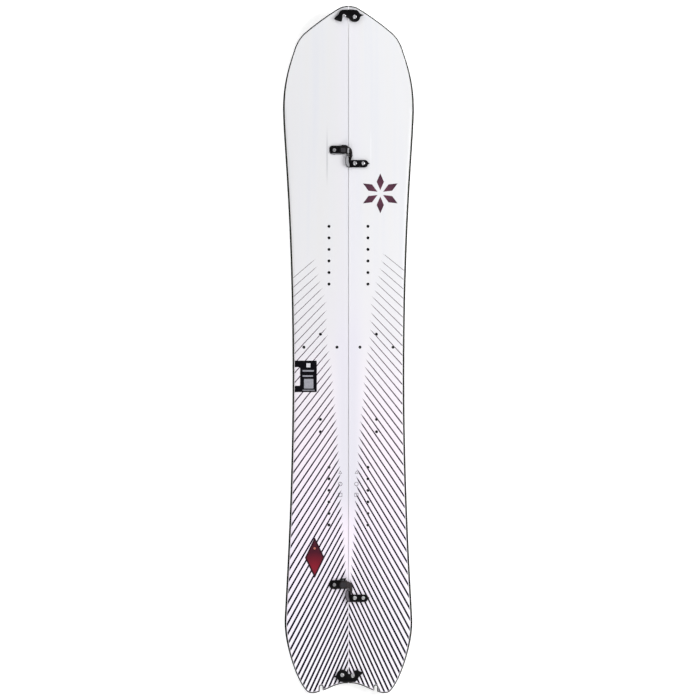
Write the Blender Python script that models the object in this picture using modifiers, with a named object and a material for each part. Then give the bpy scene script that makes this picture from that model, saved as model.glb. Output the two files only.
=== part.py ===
"""Splitboard: a snowboard cut lengthwise into two skis, joined by two end hooks and two lever clips.

Metres. The board lies on its base with the topsheet up (+Z) and the nose towards +Y. The cut between
the halves is the plane X = 0. The origin is the centre of the footprint, at the lowest points of the
base. Every layer is drawn flat, then bent to the camber and rocker of the board.
"""

import math

import bmesh
import bpy
from mathutils import Matrix, Vector
from mathutils.geometry import interpolate_bezier

# ---------------------------------------------------------------- driving dimensions
GAP = 0.0003                # clearance kept between neighbouring pieces
HALF_SEAM = 0.0005          # each half stops this far from the plane of the cut
NOSE_Y = 0.7545             # tip of the nose
TAIL_SEAM_Y = -0.7330       # deepest point of the swallow tail, at the cut

# Outer edge of one half from nose to tail: knot, incoming handle, outgoing handle
OUTLINE = (
    ((0.0000, 0.7545), None, (0.0140, 0.7545)),
    ((0.0320, 0.7430), (0.0220, 0.7495), (0.0510, 0.7310)),
    ((0.0930, 0.6985), (0.0760, 0.7130), (0.1080, 0.6870)),
    ((0.1200, 0.6560), (0.1160, 0.6700), (0.1310, 0.6240)),
    ((0.1440, 0.5300), (0.1440, 0.5850), (0.1440, 0.4600)),
    ((0.1230, -0.0650), (0.1230, 0.2900), (0.1230, -0.3300)),
    ((0.1405, -0.5980), (0.1395, -0.5550), (0.1405, -0.6450)),
    ((0.1120, -0.7180), (0.1210, -0.6980), (0.1060, -0.7310)),
    ((0.0910, -0.7510), (0.0985, -0.7440), None),
)
OUTLINE_STEPS = (4, 3, 3, 4, 6, 6, 4, 3)    # straight pieces for each curved stretch

# Swallow tail of one half, from the end of the outer edge to the cut
LOBE = ((0.0850, -0.7538), (0.0785, -0.7545), (0.0644, -0.7516))
NOTCH_X = 0.0600
NOTCH_WIDTH = 0.0060
NOTCH_TOP_Y = -0.7380
TAIL_CURVE = ((0.0477, -0.7460), (0.0358, -0.7405), (0.0220, -0.7355), (0.0120, -0.7334))

# Heights of the flat stack, from the base up
BASE_TOP = 0.0016
LOWER_LAMINATE = (0.0019, 0.0027)
CORE_BOTTOM = 0.0030
CORE_MID = 0.0048           # core thickness underfoot
CORE_CLIP = 0.0038          # core thickness under the lever clips
CORE_TIP = 0.0020           # core thickness at nose and tail
CORE_TOP = CORE_BOTTOM + CORE_MID
UPPER_LAMINATE = (CORE_TOP + GAP, CORE_TOP + GAP + 0.0008)
TOPSHEET = (UPPER_LAMINATE[1] + GAP, UPPER_LAMINATE[1] + GAP + 0.0006)

EDGE_WIDTH = 0.0022
SIDEWALL_WIDTH = 0.0080
INNER_SIDEWALL_WIDTH = 0.0032
UPPER_LAMINATE_INSET = 0.0012
TOPSHEET_INSET = 0.0025

# Side profile
CAMBER = 0.0040
NOSE_RISE = 0.0420
TAIL_RISE = 0.0160
FRONT_CONTACT = (0.3940, 0.4560)    # level stretch under the front lever clip
REAR_CONTACT = (-0.5000, -0.5620)   # level stretch under the rear lever clip
STATIONS = (
    NOSE_Y, 0.750, 0.715, 0.675, 0.635, 0.590, 0.545, 0.500, FRONT_CONTACT[1], FRONT_CONTACT[0],
    0.284, 0.132, 0.050, -0.020, -0.140, -0.195, -0.247, -0.397, REAR_CONTACT[0],
    REAR_CONTACT[1], -0.600, -0.635, -0.668, -0.698, TAIL_SEAM_Y, -NOSE_Y,
)

# Threaded inserts
INSERT_PITCH = 0.0254
INSERT_ROW_X = 0.0428
INSERTS_IN_ROW = 6
FRONT_PACK_Y = 0.2080
REAR_PACK_Y = -0.3217
TOURING_POINTS = ((0.0252, 0.0058), (0.0980, 0.0058), (0.0615, 0.0343))
HEEL_POINTS = ((0.0617, -0.1529), (0.0617, -0.1802))
INSERT_RADIUS = 0.0047
BORE_RADIUS = 0.0030
HOLE_CLEARANCE = 0.0003
STRIP_MARGIN = 0.0066       # retention strip beyond the insert centres
STRIP_THICKNESS = 0.0006
BORE_FLOOR = 0.0004

# Lever clips
FRONT_CLIP_Y = 0.4245
REAR_CLIP_Y = -0.5310
CLIP_SCREW = (-0.0310, 0.0145)
CATCH_SCREWS = ((0.0140, -0.0145), (0.0325, -0.0145))
LEVER_PIVOT = (-0.0120, 0.0145)
PLATE_TOP = 0.0033
LEVER_LEVEL = (PLATE_TOP + GAP, 0.0070)

# End hooks
NOSE_CLIP_Y = 0.7320
TAIL_CLIP_Y = -0.7153
HOOK_PIVOT = (0.0136, 0.0000)
HOOK_POST = (-0.0095, 0.0015)
HOOK_LOBE_RADIUS = 0.0125
HOOK_LEVEL = (0.0018, 0.0053)
SPACER_RADIUS = 0.0090

SCREW_RADIUS = 0.0025
HEAD_RADIUS = 0.0046
HEAD_HEIGHT = 0.0022
TURNED_STEPS = 10
HOLE_STEPS = 8
HIDDEN_HOLE_STEPS = 6
HOLE_TURN = 0.2             # first corner of a hole, in radians, so that no two holes have flats in line
FLAT_ANGLE = 0.001          # faces and edges that turn less than this are one

SIDES = {"left": -1, "right": 1}


# ---------------------------------------------------------------- scene and materials
def clear_scene():
    """Removes whatever the open scene holds."""
    for old in list(bpy.data.objects):
        bpy.data.objects.remove(old, do_unlink=True)


def new_collection(name):
    """Adds a collection to the scene."""
    collection = bpy.data.collections.new(name)
    bpy.context.scene.collection.children.link(collection)
    return collection


def principled(name, color, roughness, metallic=0.0):
    """Makes a plain Principled material."""
    material = bpy.data.materials.new(name)
    material.use_nodes = True
    shader = material.node_tree.nodes["Principled BSDF"]
    shader.inputs["Base Color"].default_value = (*color, 1.0)
    shader.inputs["Roughness"].default_value = roughness
    shader.inputs["Metallic"].default_value = metallic
    material.diffuse_color = (*color, 1.0)
    return material


def topsheet_plastic(name):
    """Cool white gloss film."""
    return principled(name, (0.83, 0.83, 0.86), 0.25)


def laminate(name):
    """Glass fibre set in resin."""
    return principled(name, (0.55, 0.57, 0.42), 0.45)


def core_wood(name):
    """Pale poplar."""
    return principled(name, (0.66, 0.48, 0.29), 0.65)


def sidewall_plastic(name):
    """Black ABS."""
    return principled(name, (0.03, 0.03, 0.035), 0.45)


def edge_steel(name):
    """Ground steel edge."""
    return principled(name, (0.45, 0.45, 0.46), 0.3, 1.0)


def base_plastic(name):
    """Sintered black base."""
    return principled(name, (0.05, 0.05, 0.06), 0.5)


def screw_steel(name):
    """Bright stainless steel."""
    return principled(name, (0.72, 0.72, 0.74), 0.22, 1.0)


def insert_steel(name):
    """Dull plated steel."""
    return principled(name, (0.30, 0.30, 0.31), 0.4, 1.0)


def clip_black(name):
    """Black anodised aluminium."""
    return principled(name, (0.03, 0.03, 0.032), 0.35, 0.6)


def clip_grey(name):
    """Dark grey anodised aluminium."""
    return principled(name, (0.16, 0.16, 0.17), 0.35, 0.6)


def spacer_plastic(name):
    """Black acetal."""
    return principled(name, (0.04, 0.04, 0.04), 0.5)


# ---------------------------------------------------------------- side profile
def smooth_base_height(y):
    """Height of the base along the board, before it is split into flat stretches."""
    if y > FRONT_CONTACT[1]:
        return NOSE_RISE * ((y - FRONT_CONTACT[1]) / (NOSE_Y - FRONT_CONTACT[1])) ** 2
    if y < REAR_CONTACT[1]:
        return TAIL_RISE * ((y - REAR_CONTACT[1]) / (NOSE_Y + REAR_CONTACT[1])) ** 2
    if y >= FRONT_CONTACT[0] or y <= REAR_CONTACT[0]:
        return 0.0
    share = (y - REAR_CONTACT[0]) / (FRONT_CONTACT[0] - REAR_CONTACT[0])
    return CAMBER * (0.5 - 0.5 * math.cos(2 * math.pi * share))


def smooth_core_thickness(y):
    """Core thickness along the board: thick underfoot, level under the clips, thin at the tips."""
    knots = (
        (NOSE_Y, CORE_TIP), (FRONT_CONTACT[1], CORE_CLIP), (FRONT_CONTACT[0], CORE_CLIP),
        (0.284, CORE_MID), (-0.397, CORE_MID), (REAR_CONTACT[0], CORE_CLIP),
        (REAR_CONTACT[1], CORE_CLIP), (-NOSE_Y, CORE_TIP),
    )
    return interpolate(knots, y)


def interpolate(knots, y):
    """Reads a value off a list of (y, value) knots that runs from nose to tail."""
    for (y_high, high), (y_low, low) in zip(knots, knots[1:]):
        if y >= y_low:
            return low + (high - low) * (y - y_low) / (y_high - y_low)
    return knots[-1][1]


def base_height(y):
    """Height of the base, straight between stations."""
    return interpolate([(s, smooth_base_height(s)) for s in STATIONS], y)


def core_thickness(y):
    """Core thickness, straight between stations."""
    return interpolate([(s, smooth_core_thickness(s)) for s in STATIONS], y)


def bent_height(y, flat_z):
    """Where a height in the flat stack ends up in the bent board."""
    in_core = min(max(flat_z - CORE_BOTTOM, 0.0), CORE_MID)
    return base_height(y) + flat_z - in_core + in_core * core_thickness(y) / CORE_MID


def slope_at(y, flat_z):
    """Slope of a surface of the board along Y, inside the flat stretch that holds y."""
    step = 0.001
    return (bent_height(y + step, flat_z) - bent_height(y - step, flat_z)) / (2 * step)


# ---------------------------------------------------------------- outlines
def outer_edge_points():
    """Points along the outer edge of one half, from the cut at the nose to the tail lobe."""
    points = []
    for (start, end, steps) in zip(OUTLINE, OUTLINE[1:], OUTLINE_STEPS):
        corners = [Vector((*xy, 0.0)) for xy in (start[0], start[2], end[1], end[0])]
        points += interpolate_bezier(*corners, steps + 1)[:-1]
    points.append(Vector((*OUTLINE[-1][0], 0.0)))
    points[0].x = HALF_SEAM
    return [(p.x, p.y) for p in points]


def inset(points, distance):
    """Moves an open outline inwards, keeping its straight pieces parallel."""
    moved = []
    last = len(points) - 1
    for i, point in enumerate(points):
        before = Vector(points[i]) - Vector(points[max(i - 1, 0)])
        after = Vector(points[min(i + 1, last)]) - Vector(points[i])
        if i == 0:
            before = Vector((1.0, 0.0))
        if i == last:
            after = before
        normals = [Vector((d.y, -d.x)).normalized() for d in (before, after)]
        bisector = (normals[0] + normals[1]).normalized()
        place = Vector(point) + bisector * distance / bisector.dot(normals[0])
        moved.append((place.x, place.y))
    return moved


def nose_end(points, x):
    """Height along the board at which an outline from the nose passes a distance x from the cut."""
    for (x_in, y_in), (x_out, y_out) in zip(points, points[1:]):
        if x <= x_out:
            return y_in + (y_out - y_in) * (x - x_in) / (x_out - x_in)
    return points[-1][1]


def tail_points():
    """The swallow tail with its notch, from the lobe to the cut."""
    radius = NOTCH_WIDTH / 2
    lip = LOBE[-1][1] + 0.0009
    notch = [
        (NOTCH_X + radius, lip),
        (NOTCH_X + radius, NOTCH_TOP_Y - radius),
        (NOTCH_X + radius * 0.5, NOTCH_TOP_Y - radius * 0.13),
        (NOTCH_X - radius * 0.5, NOTCH_TOP_Y - radius * 0.13),
        (NOTCH_X - radius, NOTCH_TOP_Y - radius),
        (NOTCH_X - radius, lip + 0.0021),
    ]
    return [*LOBE, *notch, *TAIL_CURVE]


def plate_outline(inset_outer, inner_x):
    """Outline of a full layer of one half."""
    outer = outer_edge_points()
    rim = inset(outer, inset_outer)
    moved = [p for p in rim if p[0] > inner_x + GAP]
    along = (Vector(outer[-1]) - Vector(outer[-2])).normalized() * GAP
    corner = [tuple(Vector(moved[-1]) + along), tuple(Vector(outer[-1]) + along)]
    if inset_outer < GAP:
        corner = []
    cut = [(inner_x, TAIL_SEAM_Y), (inner_x, nose_end(rim, inner_x))]
    return moved + corner + tail_points() + cut


def rim_outline(width):
    """Outline of a strip that follows the outer edge of one half."""
    outer = outer_edge_points()
    return outer + inset(outer, width)[::-1]


def seam_outline(width, rim_width):
    """Outline of a strip that follows the cut of one half."""
    rim = inset(outer_edge_points(), rim_width + GAP)
    return [
        (HALF_SEAM, TAIL_SEAM_Y),
        (HALF_SEAM + width, TAIL_SEAM_Y),
        (HALF_SEAM + width, nose_end(rim, HALF_SEAM + width)),
        (HALF_SEAM, nose_end(rim, HALF_SEAM)),
    ]


def circle(center, radius, steps):
    """A circle as a closed outline, with flats that keep the stated radius."""
    reach = radius / math.cos(math.pi / steps)
    angles = [2 * math.pi * i / steps + HOLE_TURN for i in range(steps)]
    return [(center[0] + reach * math.cos(a), center[1] + reach * math.sin(a)) for a in angles]


def arc(center, radius, start_deg, end_deg, steps):
    """Points along an arc."""
    angles = [math.radians(start_deg + (end_deg - start_deg) * i / steps) for i in range(steps + 1)]
    return [(center[0] + radius * math.cos(a), center[1] + radius * math.sin(a)) for a in angles]


def shifted(points, dx, dy):
    """Moves an outline."""
    return [(x + dx, y + dy) for x, y in points]


def on_side(points, side):
    """Puts an outline drawn for the right half on the named half."""
    return [(SIDES[side] * x, y) for x, y in points]


# ---------------------------------------------------------------- modelling helpers
def place_mesh(name, mesh, material, origin=(0.0, 0.0, 0.0), frame=None):
    """Makes the object for a finished mesh, whose own coordinates are measured from frame."""
    node = bpy.data.objects.new(name, mesh)
    mesh.name = name
    mesh.transform(Matrix.Translation(-Vector(origin)))
    node.location = origin
    node.parent = frame
    mesh.materials.clear()
    mesh.materials.append(material)
    parts.objects.link(node)
    return node


def clean(work, join=0.000001):
    """Welds a working mesh and turns its faces outwards."""
    bmesh.ops.remove_doubles(work, verts=work.verts, dist=join)
    bmesh.ops.recalc_face_normals(work, faces=work.faces)


def join_flat_faces(work):
    """Joins faces that lie in one plane, but not across a marked seam."""
    bmesh.ops.dissolve_limit(
        work, angle_limit=FLAT_ANGLE, use_dissolve_boundaries=False,
        verts=work.verts[:], edges=work.edges[:], delimit={"SEAM"},
    )


def prism_mesh(outlines, z_low, z_high):
    """Extrudes a flat outline, and any holes after it, into a closed mesh."""
    curve = bpy.data.curves.new("outline", "CURVE")
    curve.dimensions = "2D"
    curve.fill_mode = "BOTH"
    curve.extrude = (z_high - z_low) / 2
    for outline in outlines:
        spline = curve.splines.new("POLY")
        spline.points.add(len(outline) - 1)
        for point, (x, y) in zip(spline.points, outline):
            point.co = (x, y, 0.0, 1.0)
        spline.use_cyclic_u = True
    holder = bpy.data.objects.new("outline", curve)
    parts.objects.link(holder)
    holder.location.z = (z_low + z_high) / 2
    depsgraph = bpy.context.evaluated_depsgraph_get()
    depsgraph.update()
    mesh = bpy.data.meshes.new_from_object(holder.evaluated_get(depsgraph))
    mesh.transform(holder.matrix_world)
    bpy.data.objects.remove(holder, do_unlink=True)
    work = bmesh.new()
    work.from_mesh(mesh)
    clean(work)
    join_flat_faces(work)
    work.to_mesh(mesh)
    work.free()
    return mesh


def cylinder_mesh(centers, radius, z_low, z_high, steps):
    """One or more separate upright cylinders in one mesh."""
    work = bmesh.new()
    reach = radius / math.cos(math.pi / steps)
    turn = Matrix.Rotation(HOLE_TURN - math.pi / 2, 4, "Z")
    for x, y in centers:
        place = Matrix.Translation((x, y, (z_low + z_high) / 2)) @ turn
        bmesh.ops.create_cone(
            work, cap_ends=True, cap_tris=False, segments=steps,
            radius1=reach, radius2=reach, depth=z_high - z_low, matrix=place,
        )
    bmesh.ops.recalc_face_normals(work, faces=work.faces)
    mesh = bpy.data.meshes.new("cylinders")
    work.to_mesh(mesh)
    work.free()
    return mesh


def combine(mesh, tool, operation):
    """Applies a Boolean with a second mesh, and returns the result."""
    body = bpy.data.objects.new("body", mesh)
    cutter = bpy.data.objects.new("cutter", tool)
    cutters.objects.link(body)
    cutters.objects.link(cutter)
    cutter.hide_render = True
    cutter.display_type = "WIRE"
    modifier = body.modifiers.new("cut", "BOOLEAN")
    modifier.operation = operation
    modifier.solver = "EXACT"
    modifier.object = cutter
    depsgraph = bpy.context.evaluated_depsgraph_get()
    depsgraph.update()
    result = bpy.data.meshes.new_from_object(body.evaluated_get(depsgraph))
    bpy.data.objects.remove(body, do_unlink=True)
    bpy.data.objects.remove(cutter, do_unlink=True)
    work = bmesh.new()
    work.from_mesh(result)
    clean(work)
    join_flat_faces(work)
    work.to_mesh(result)
    work.free()
    return result


def bend(mesh):
    """Cuts a flat layer at the stations and lifts it onto the board's side profile."""
    work = bmesh.new()
    work.from_mesh(mesh)
    low = min(v.co.y for v in work.verts)
    high = max(v.co.y for v in work.verts)
    for y in STATIONS:
        if low + GAP < y < high - GAP:
            everything = work.verts[:] + work.edges[:] + work.faces[:]
            cut = bmesh.ops.bisect_plane(
                work, geom=everything, dist=0.0000005, plane_co=(0, y, 0), plane_no=(0, 1, 0)
            )
            for edge in [item for item in cut["geom_cut"] if isinstance(item, bmesh.types.BMEdge)]:
                edge.seam = True
    join_flat_faces(work)
    for vert in work.verts:
        vert.co.z = bent_height(vert.co.y, vert.co.z)
    bmesh.ops.recalc_face_normals(work, faces=work.faces)
    work.to_mesh(mesh)
    work.free()
    return mesh


def turned_node(name, profile, place, material, frame, ring=False):
    """Turns a profile of (radius, z) pairs, running top to bottom, about its own Z axis."""
    mesh = bpy.data.meshes.new(name)
    edges = [(i, i + 1) for i in range(len(profile) - 1)]
    if ring:
        edges.append((len(profile) - 1, 0))
    mesh.from_pydata([(r, 0.0, z) for r, z in profile], edges, [])
    node = bpy.data.objects.new(name, mesh)
    parts.objects.link(node)
    screw = node.modifiers.new("turn", "SCREW")
    screw.axis = "Z"
    screw.steps = TURNED_STEPS
    screw.render_steps = TURNED_STEPS
    screw.use_merge_vertices = True
    screw.merge_threshold = 0.00001
    screw.use_smooth_shade = True
    node.location = (place[0], place[1], 0.0)
    node.parent = frame
    mesh.materials.append(material)
    return node


# ---------------------------------------------------------------- board layers
def clip_frame(name, y, turned=False):
    """Empty on the topsheet at y, lying in the topsheet's plane there."""
    frame = bpy.data.objects.new(name, None)
    frame.empty_display_size = 0.02
    parts.objects.link(frame)
    frame.location = (0.0, y, bent_height(y, TOPSHEET[1]))
    lean = math.atan(slope_at(y, TOPSHEET[1]))
    matrix = Matrix.Rotation(lean, 3, "X")
    if turned:
        matrix = matrix @ Matrix.Rotation(math.pi, 3, "Z")
    frame.rotation_euler = matrix.to_euler()
    bpy.context.view_layer.update()
    return frame


def row_points(y_center):
    """Insert centres of one binding row."""
    first = y_center - INSERT_PITCH * (INSERTS_IN_ROW - 1) / 2
    return [(INSERT_ROW_X, first + INSERT_PITCH * i) for i in range(INSERTS_IN_ROW)]


def strip_outline(points, margin):
    """Outline of the strip that ties a group of inserts together."""
    xs = [x for x, y in points]
    ys = [y for x, y in points]
    low_x, high_x = min(xs) - margin, max(xs) + margin
    low_y, high_y = min(ys) - margin, max(ys) + margin
    if len(points) != len(TOURING_POINTS):
        return [(low_x, low_y), (high_x, low_y), (high_x, high_y), (low_x, high_y)]
    top_x = points[-1][0]
    return [
        (low_x, low_y), (high_x, low_y), (high_x, low_y + 2 * margin),
        (top_x + margin, high_y), (top_x - margin, high_y), (low_x, low_y + 2 * margin),
    ]


def insert_groups(side):
    """Names and insert centres of every group of inserts in one half, drawn at positive X."""
    groups = {
        "front_inserts": row_points(FRONT_PACK_Y),
        "rear_inserts": row_points(REAR_PACK_Y),
        "touring_inserts": list(TOURING_POINTS),
        "heel_inserts": list(HEEL_POINTS),
    }
    screws = [CLIP_SCREW] if side == "left" else list(CATCH_SCREWS)
    for name, y in (("front_clip_inserts", FRONT_CLIP_Y), ("rear_clip_inserts", REAR_CLIP_Y)):
        groups[name] = shifted([(abs(x), dy) for x, dy in screws], 0.0, y)
    return groups


def build_inserts(side, group, points, material):
    """A group of blind threaded inserts on their retention strip."""
    centers = on_side(points, side)
    strip_top = CORE_BOTTOM + STRIP_THICKNESS
    outline = on_side(strip_outline(points, STRIP_MARGIN), side)
    strip = prism_mesh([outline], CORE_BOTTOM, strip_top)
    barrels = cylinder_mesh(
        centers, INSERT_RADIUS, CORE_BOTTOM + STRIP_THICKNESS / 2, CORE_TOP, HIDDEN_HOLE_STEPS
    )
    bores = cylinder_mesh(
        centers, BORE_RADIUS, CORE_BOTTOM + BORE_FLOOR, CORE_TOP + 0.001, HIDDEN_HOLE_STEPS
    )
    mesh = combine(combine(strip, barrels, "UNION"), bores, "DIFFERENCE")
    place_mesh(f"{side}_{group}", bend(mesh), material)


def cut_hook_holes(mesh, side, radius, hook_frames):
    """Cuts the screw holes of the end hooks, square to the tilted topsheet."""
    for frame in hook_frames:
        for point in (HOOK_PIVOT, HOOK_POST):
            on_board = frame.matrix_world @ Vector((*point, 0.0))
            if on_board.x * SIDES[side] < 0:
                continue
            tool = cylinder_mesh([point], radius, -0.0200, 0.0040, HOLE_STEPS)
            tool.transform(frame.matrix_world)
            mesh = combine(mesh, tool, "DIFFERENCE")
    return mesh


def build_core(side, groups, material, hook_frames):
    """Wood core with a hole for every insert and a pocket for every retention strip."""
    radius = INSERT_RADIUS + HOLE_CLEARANCE
    holes = [
        circle(point, radius, HIDDEN_HOLE_STEPS)
        for points in groups.values() for point in on_side(points, side)
    ]
    outline = plate_outline(SIDEWALL_WIDTH + GAP, HALF_SEAM + INNER_SIDEWALL_WIDTH + GAP)
    mesh = prism_mesh([on_side(outline, side), *holes], CORE_BOTTOM, CORE_TOP)
    pocket_top = CORE_BOTTOM + STRIP_THICKNESS + GAP
    for points in groups.values():
        pocket = on_side(strip_outline(points, STRIP_MARGIN + GAP), side)
        mesh = combine(mesh, prism_mesh([pocket], CORE_BOTTOM - 0.001, pocket_top), "DIFFERENCE")
    mesh = cut_hook_holes(bend(mesh), side, INSERT_RADIUS + HOLE_CLEARANCE, hook_frames)
    place_mesh(f"{side}_wood_core", mesh, material)


def build_skin(side, name, inset_outer, levels, steps, groups, material, hook_frames):
    """A layer above the core, with a clearance hole over every insert."""
    holes = [
        circle(point, BORE_RADIUS + HOLE_CLEARANCE, steps)
        for points in groups.values() for point in on_side(points, side)
    ]
    outline = on_side(plate_outline(inset_outer, HALF_SEAM), side)
    mesh = bend(prism_mesh([outline, *holes], *levels))
    mesh = cut_hook_holes(mesh, side, BORE_RADIUS, hook_frames)
    place_mesh(f"{side}_{name}", mesh, material)


def build_strip(side, name, outline, levels, material):
    """An edge or a sidewall."""
    mesh = bend(prism_mesh([on_side(outline, side)], *levels))
    place_mesh(f"{side}_{name}", mesh, material)


def build_half(side, look, hook_frames):
    """Every layer and insert of one half."""
    groups = insert_groups(side)
    base_outline = plate_outline(EDGE_WIDTH + GAP, HALF_SEAM + EDGE_WIDTH + GAP)
    build_strip(side, "base_sheet", base_outline, (0.0, BASE_TOP), look["base"])
    build_strip(side, "outer_edge", rim_outline(EDGE_WIDTH), (0.0, BASE_TOP), look["edge"])
    build_strip(
        side, "inner_edge", seam_outline(EDGE_WIDTH, EDGE_WIDTH), (0.0, BASE_TOP), look["edge"]
    )
    build_strip(
        side, "lower_laminate", plate_outline(0.0, HALF_SEAM), LOWER_LAMINATE, look["laminate"]
    )
    build_core(side, groups, look["wood"], hook_frames)
    core_levels = (CORE_BOTTOM, CORE_TOP)
    build_strip(side, "outer_sidewall", rim_outline(SIDEWALL_WIDTH), core_levels, look["sidewall"])
    build_strip(
        side, "inner_sidewall", seam_outline(INNER_SIDEWALL_WIDTH, SIDEWALL_WIDTH),
        core_levels, look["sidewall"],
    )
    build_skin(
        side, "upper_laminate", UPPER_LAMINATE_INSET, UPPER_LAMINATE, HIDDEN_HOLE_STEPS,
        groups, look["laminate"], hook_frames,
    )
    build_skin(
        side, "topsheet", TOPSHEET_INSET, TOPSHEET, HOLE_STEPS, groups, look["topsheet"], hook_frames
    )
    for group, points in groups.items():
        build_inserts(side, group, points, look["insert"])


# ---------------------------------------------------------------- lever clips
def base_plate_outline():
    """Base of a lever clip, on the left half."""
    return [
        (-0.0400, 0.0100), (-0.0375, 0.0065), (-0.0330, 0.0055), (-0.0040, 0.0055),
        (-0.0020, 0.0080), (-0.0020, 0.0220), (-0.0040, 0.0245), (-0.0330, 0.0245),
        (-0.0375, 0.0235), (-0.0400, 0.0200),
    ]


def lever_outline():
    """Hook lever seen from above: disc round the pivot, thumb tab, and a finger over the seam."""
    disc = arc(LEVER_PIVOT, 0.0080, 104, 290, 9)
    finger_inside = [(-0.0035, 0.0085), (0.0002, 0.0074), (0.0020, 0.0050), (0.0022, -0.0020)]
    finger_tip = [(0.0034, -0.0052), (0.0052, -0.0060), (0.0070, -0.0045)]
    finger_outside = [(0.0088, 0.0020), (0.0088, 0.0100), (0.0066, 0.0170), (0.0020, 0.0212)]
    tab = [(-0.0040, 0.0226), (-0.0072, 0.0230), (-0.0074, 0.0268), (-0.0164, 0.0268)]
    return disc + finger_inside + finger_tip + finger_outside + tab


def catch_plate_outline():
    """Screwed plate of a catch, on the right half, with its pointed end."""
    return [
        (0.0010, -0.0235), (0.0370, -0.0235), (0.0410, -0.0215), (0.0427, -0.0170),
        (0.0468, -0.0145), (0.0427, -0.0120), (0.0410, -0.0085), (0.0370, -0.0070),
        (0.0030, -0.0070), (0.0010, -0.0090),
    ]


def crescent_outline():
    """Finger of a catch: it bulges over the seam and stands behind the lever's finger."""
    outside = [(0.0030, -0.0235), (-0.0020, -0.0225), (-0.0058, -0.0180), (-0.0074, -0.0110)]
    end = [(-0.0072, -0.0040), (-0.0052, 0.0016), (-0.0020, 0.0034), (0.0006, 0.0020)]
    inside = [(0.0012, -0.0040), (0.0012, -0.0120), (0.0030, -0.0180)]
    return outside + end + inside


def ring_profile(radius, bottom, top):
    """Profile of a washer or bush with the bore of an insert."""
    return [(radius, top), (radius, bottom), (BORE_RADIUS, bottom), (BORE_RADIUS, top)]


def screw_profile(head_bottom, shank_bottom):
    """Cap screw, running from the top of its head to the end of its shank."""
    top = head_bottom + HEAD_HEIGHT
    return [
        (0.0, top), (HEAD_RADIUS * 0.8, top), (HEAD_RADIUS, top - 0.0006),
        (HEAD_RADIUS, head_bottom), (SCREW_RADIUS, head_bottom), (SCREW_RADIUS, shank_bottom),
        (0.0, shank_bottom),
    ]


def build_lever_clip(prefix, y, look):
    """Base, lever, pivot pin, catch and screws of one lever clip."""
    frame = clip_frame(f"{prefix}_clip_frame", y)
    screw_hole = circle(CLIP_SCREW, BORE_RADIUS, HOLE_STEPS)
    pivot_hole = circle(LEVER_PIVOT, BORE_RADIUS, HOLE_STEPS)
    base = prism_mesh([base_plate_outline(), screw_hole, pivot_hole], GAP, PLATE_TOP)
    place_mesh(f"{prefix}_clip_base", base, look["clip"], frame=frame)
    lever = prism_mesh([lever_outline(), pivot_hole], *LEVER_LEVEL)
    pivot = (*LEVER_PIVOT, 0.0)
    place_mesh(f"{prefix}_clip_lever", lever, look["lever"], origin=pivot, frame=frame)
    pin_top = LEVER_LEVEL[1] + GAP
    pin = [
        (0.0, pin_top + 0.0012), (0.0036, pin_top + 0.0012), (0.0042, pin_top + 0.0007),
        (0.0042, pin_top), (SCREW_RADIUS, pin_top), (SCREW_RADIUS, 2 * GAP), (0.0, 2 * GAP),
    ]
    turned_node(f"{prefix}_lever_pin", pin, LEVER_PIVOT, look["screw"], frame)
    catch_holes = [circle(point, BORE_RADIUS, HOLE_STEPS) for point in CATCH_SCREWS]
    catch = prism_mesh([catch_plate_outline(), *catch_holes], GAP, PLATE_TOP)
    crescent = prism_mesh([crescent_outline()], GAP, LEVER_LEVEL[1])
    catch = combine(catch, crescent, "UNION")
    place_mesh(f"{prefix}_clip_catch", catch, look["catch"], frame=frame)
    screw = screw_profile(PLATE_TOP + GAP, -0.0050)
    turned_node(f"{prefix}_base_screw", screw, CLIP_SCREW, look["screw"], frame)
    for name, point in zip(("inner", "outer"), CATCH_SCREWS):
        turned_node(f"{prefix}_catch_screw_{name}", screw, point, look["screw"], frame)


# ---------------------------------------------------------------- end hooks
def hook_outline():
    """Hook seen from above: round lobe, thumb fin, arched bar, foot and the mouth round the post."""
    lobe = arc(HOOK_PIVOT, HOOK_LOBE_RADIUS, -135, 0, 7)
    fin = [(0.0345, 0.0035), (0.0258, 0.0060)]
    bar = [(0.0225, 0.0095), (0.0180, 0.0130), (0.0100, 0.0140), (-0.0140, 0.0135), (-0.0188, 0.0108)]
    foot = [(-0.0222, 0.0050), (-0.0314, -0.0040), (-0.0305, -0.0065), (-0.0180, -0.0113)]
    mouth = [(-0.0140, -0.0105), (-0.0134, 0.0030), (-0.0115, 0.0058), (-0.0078, 0.0058)]
    beak = [(-0.0058, 0.0035), (-0.0058, 0.0006), (-0.0040, -0.0008), (0.0010, -0.0038)]
    return lobe + fin + bar + foot + mouth + beak


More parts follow.
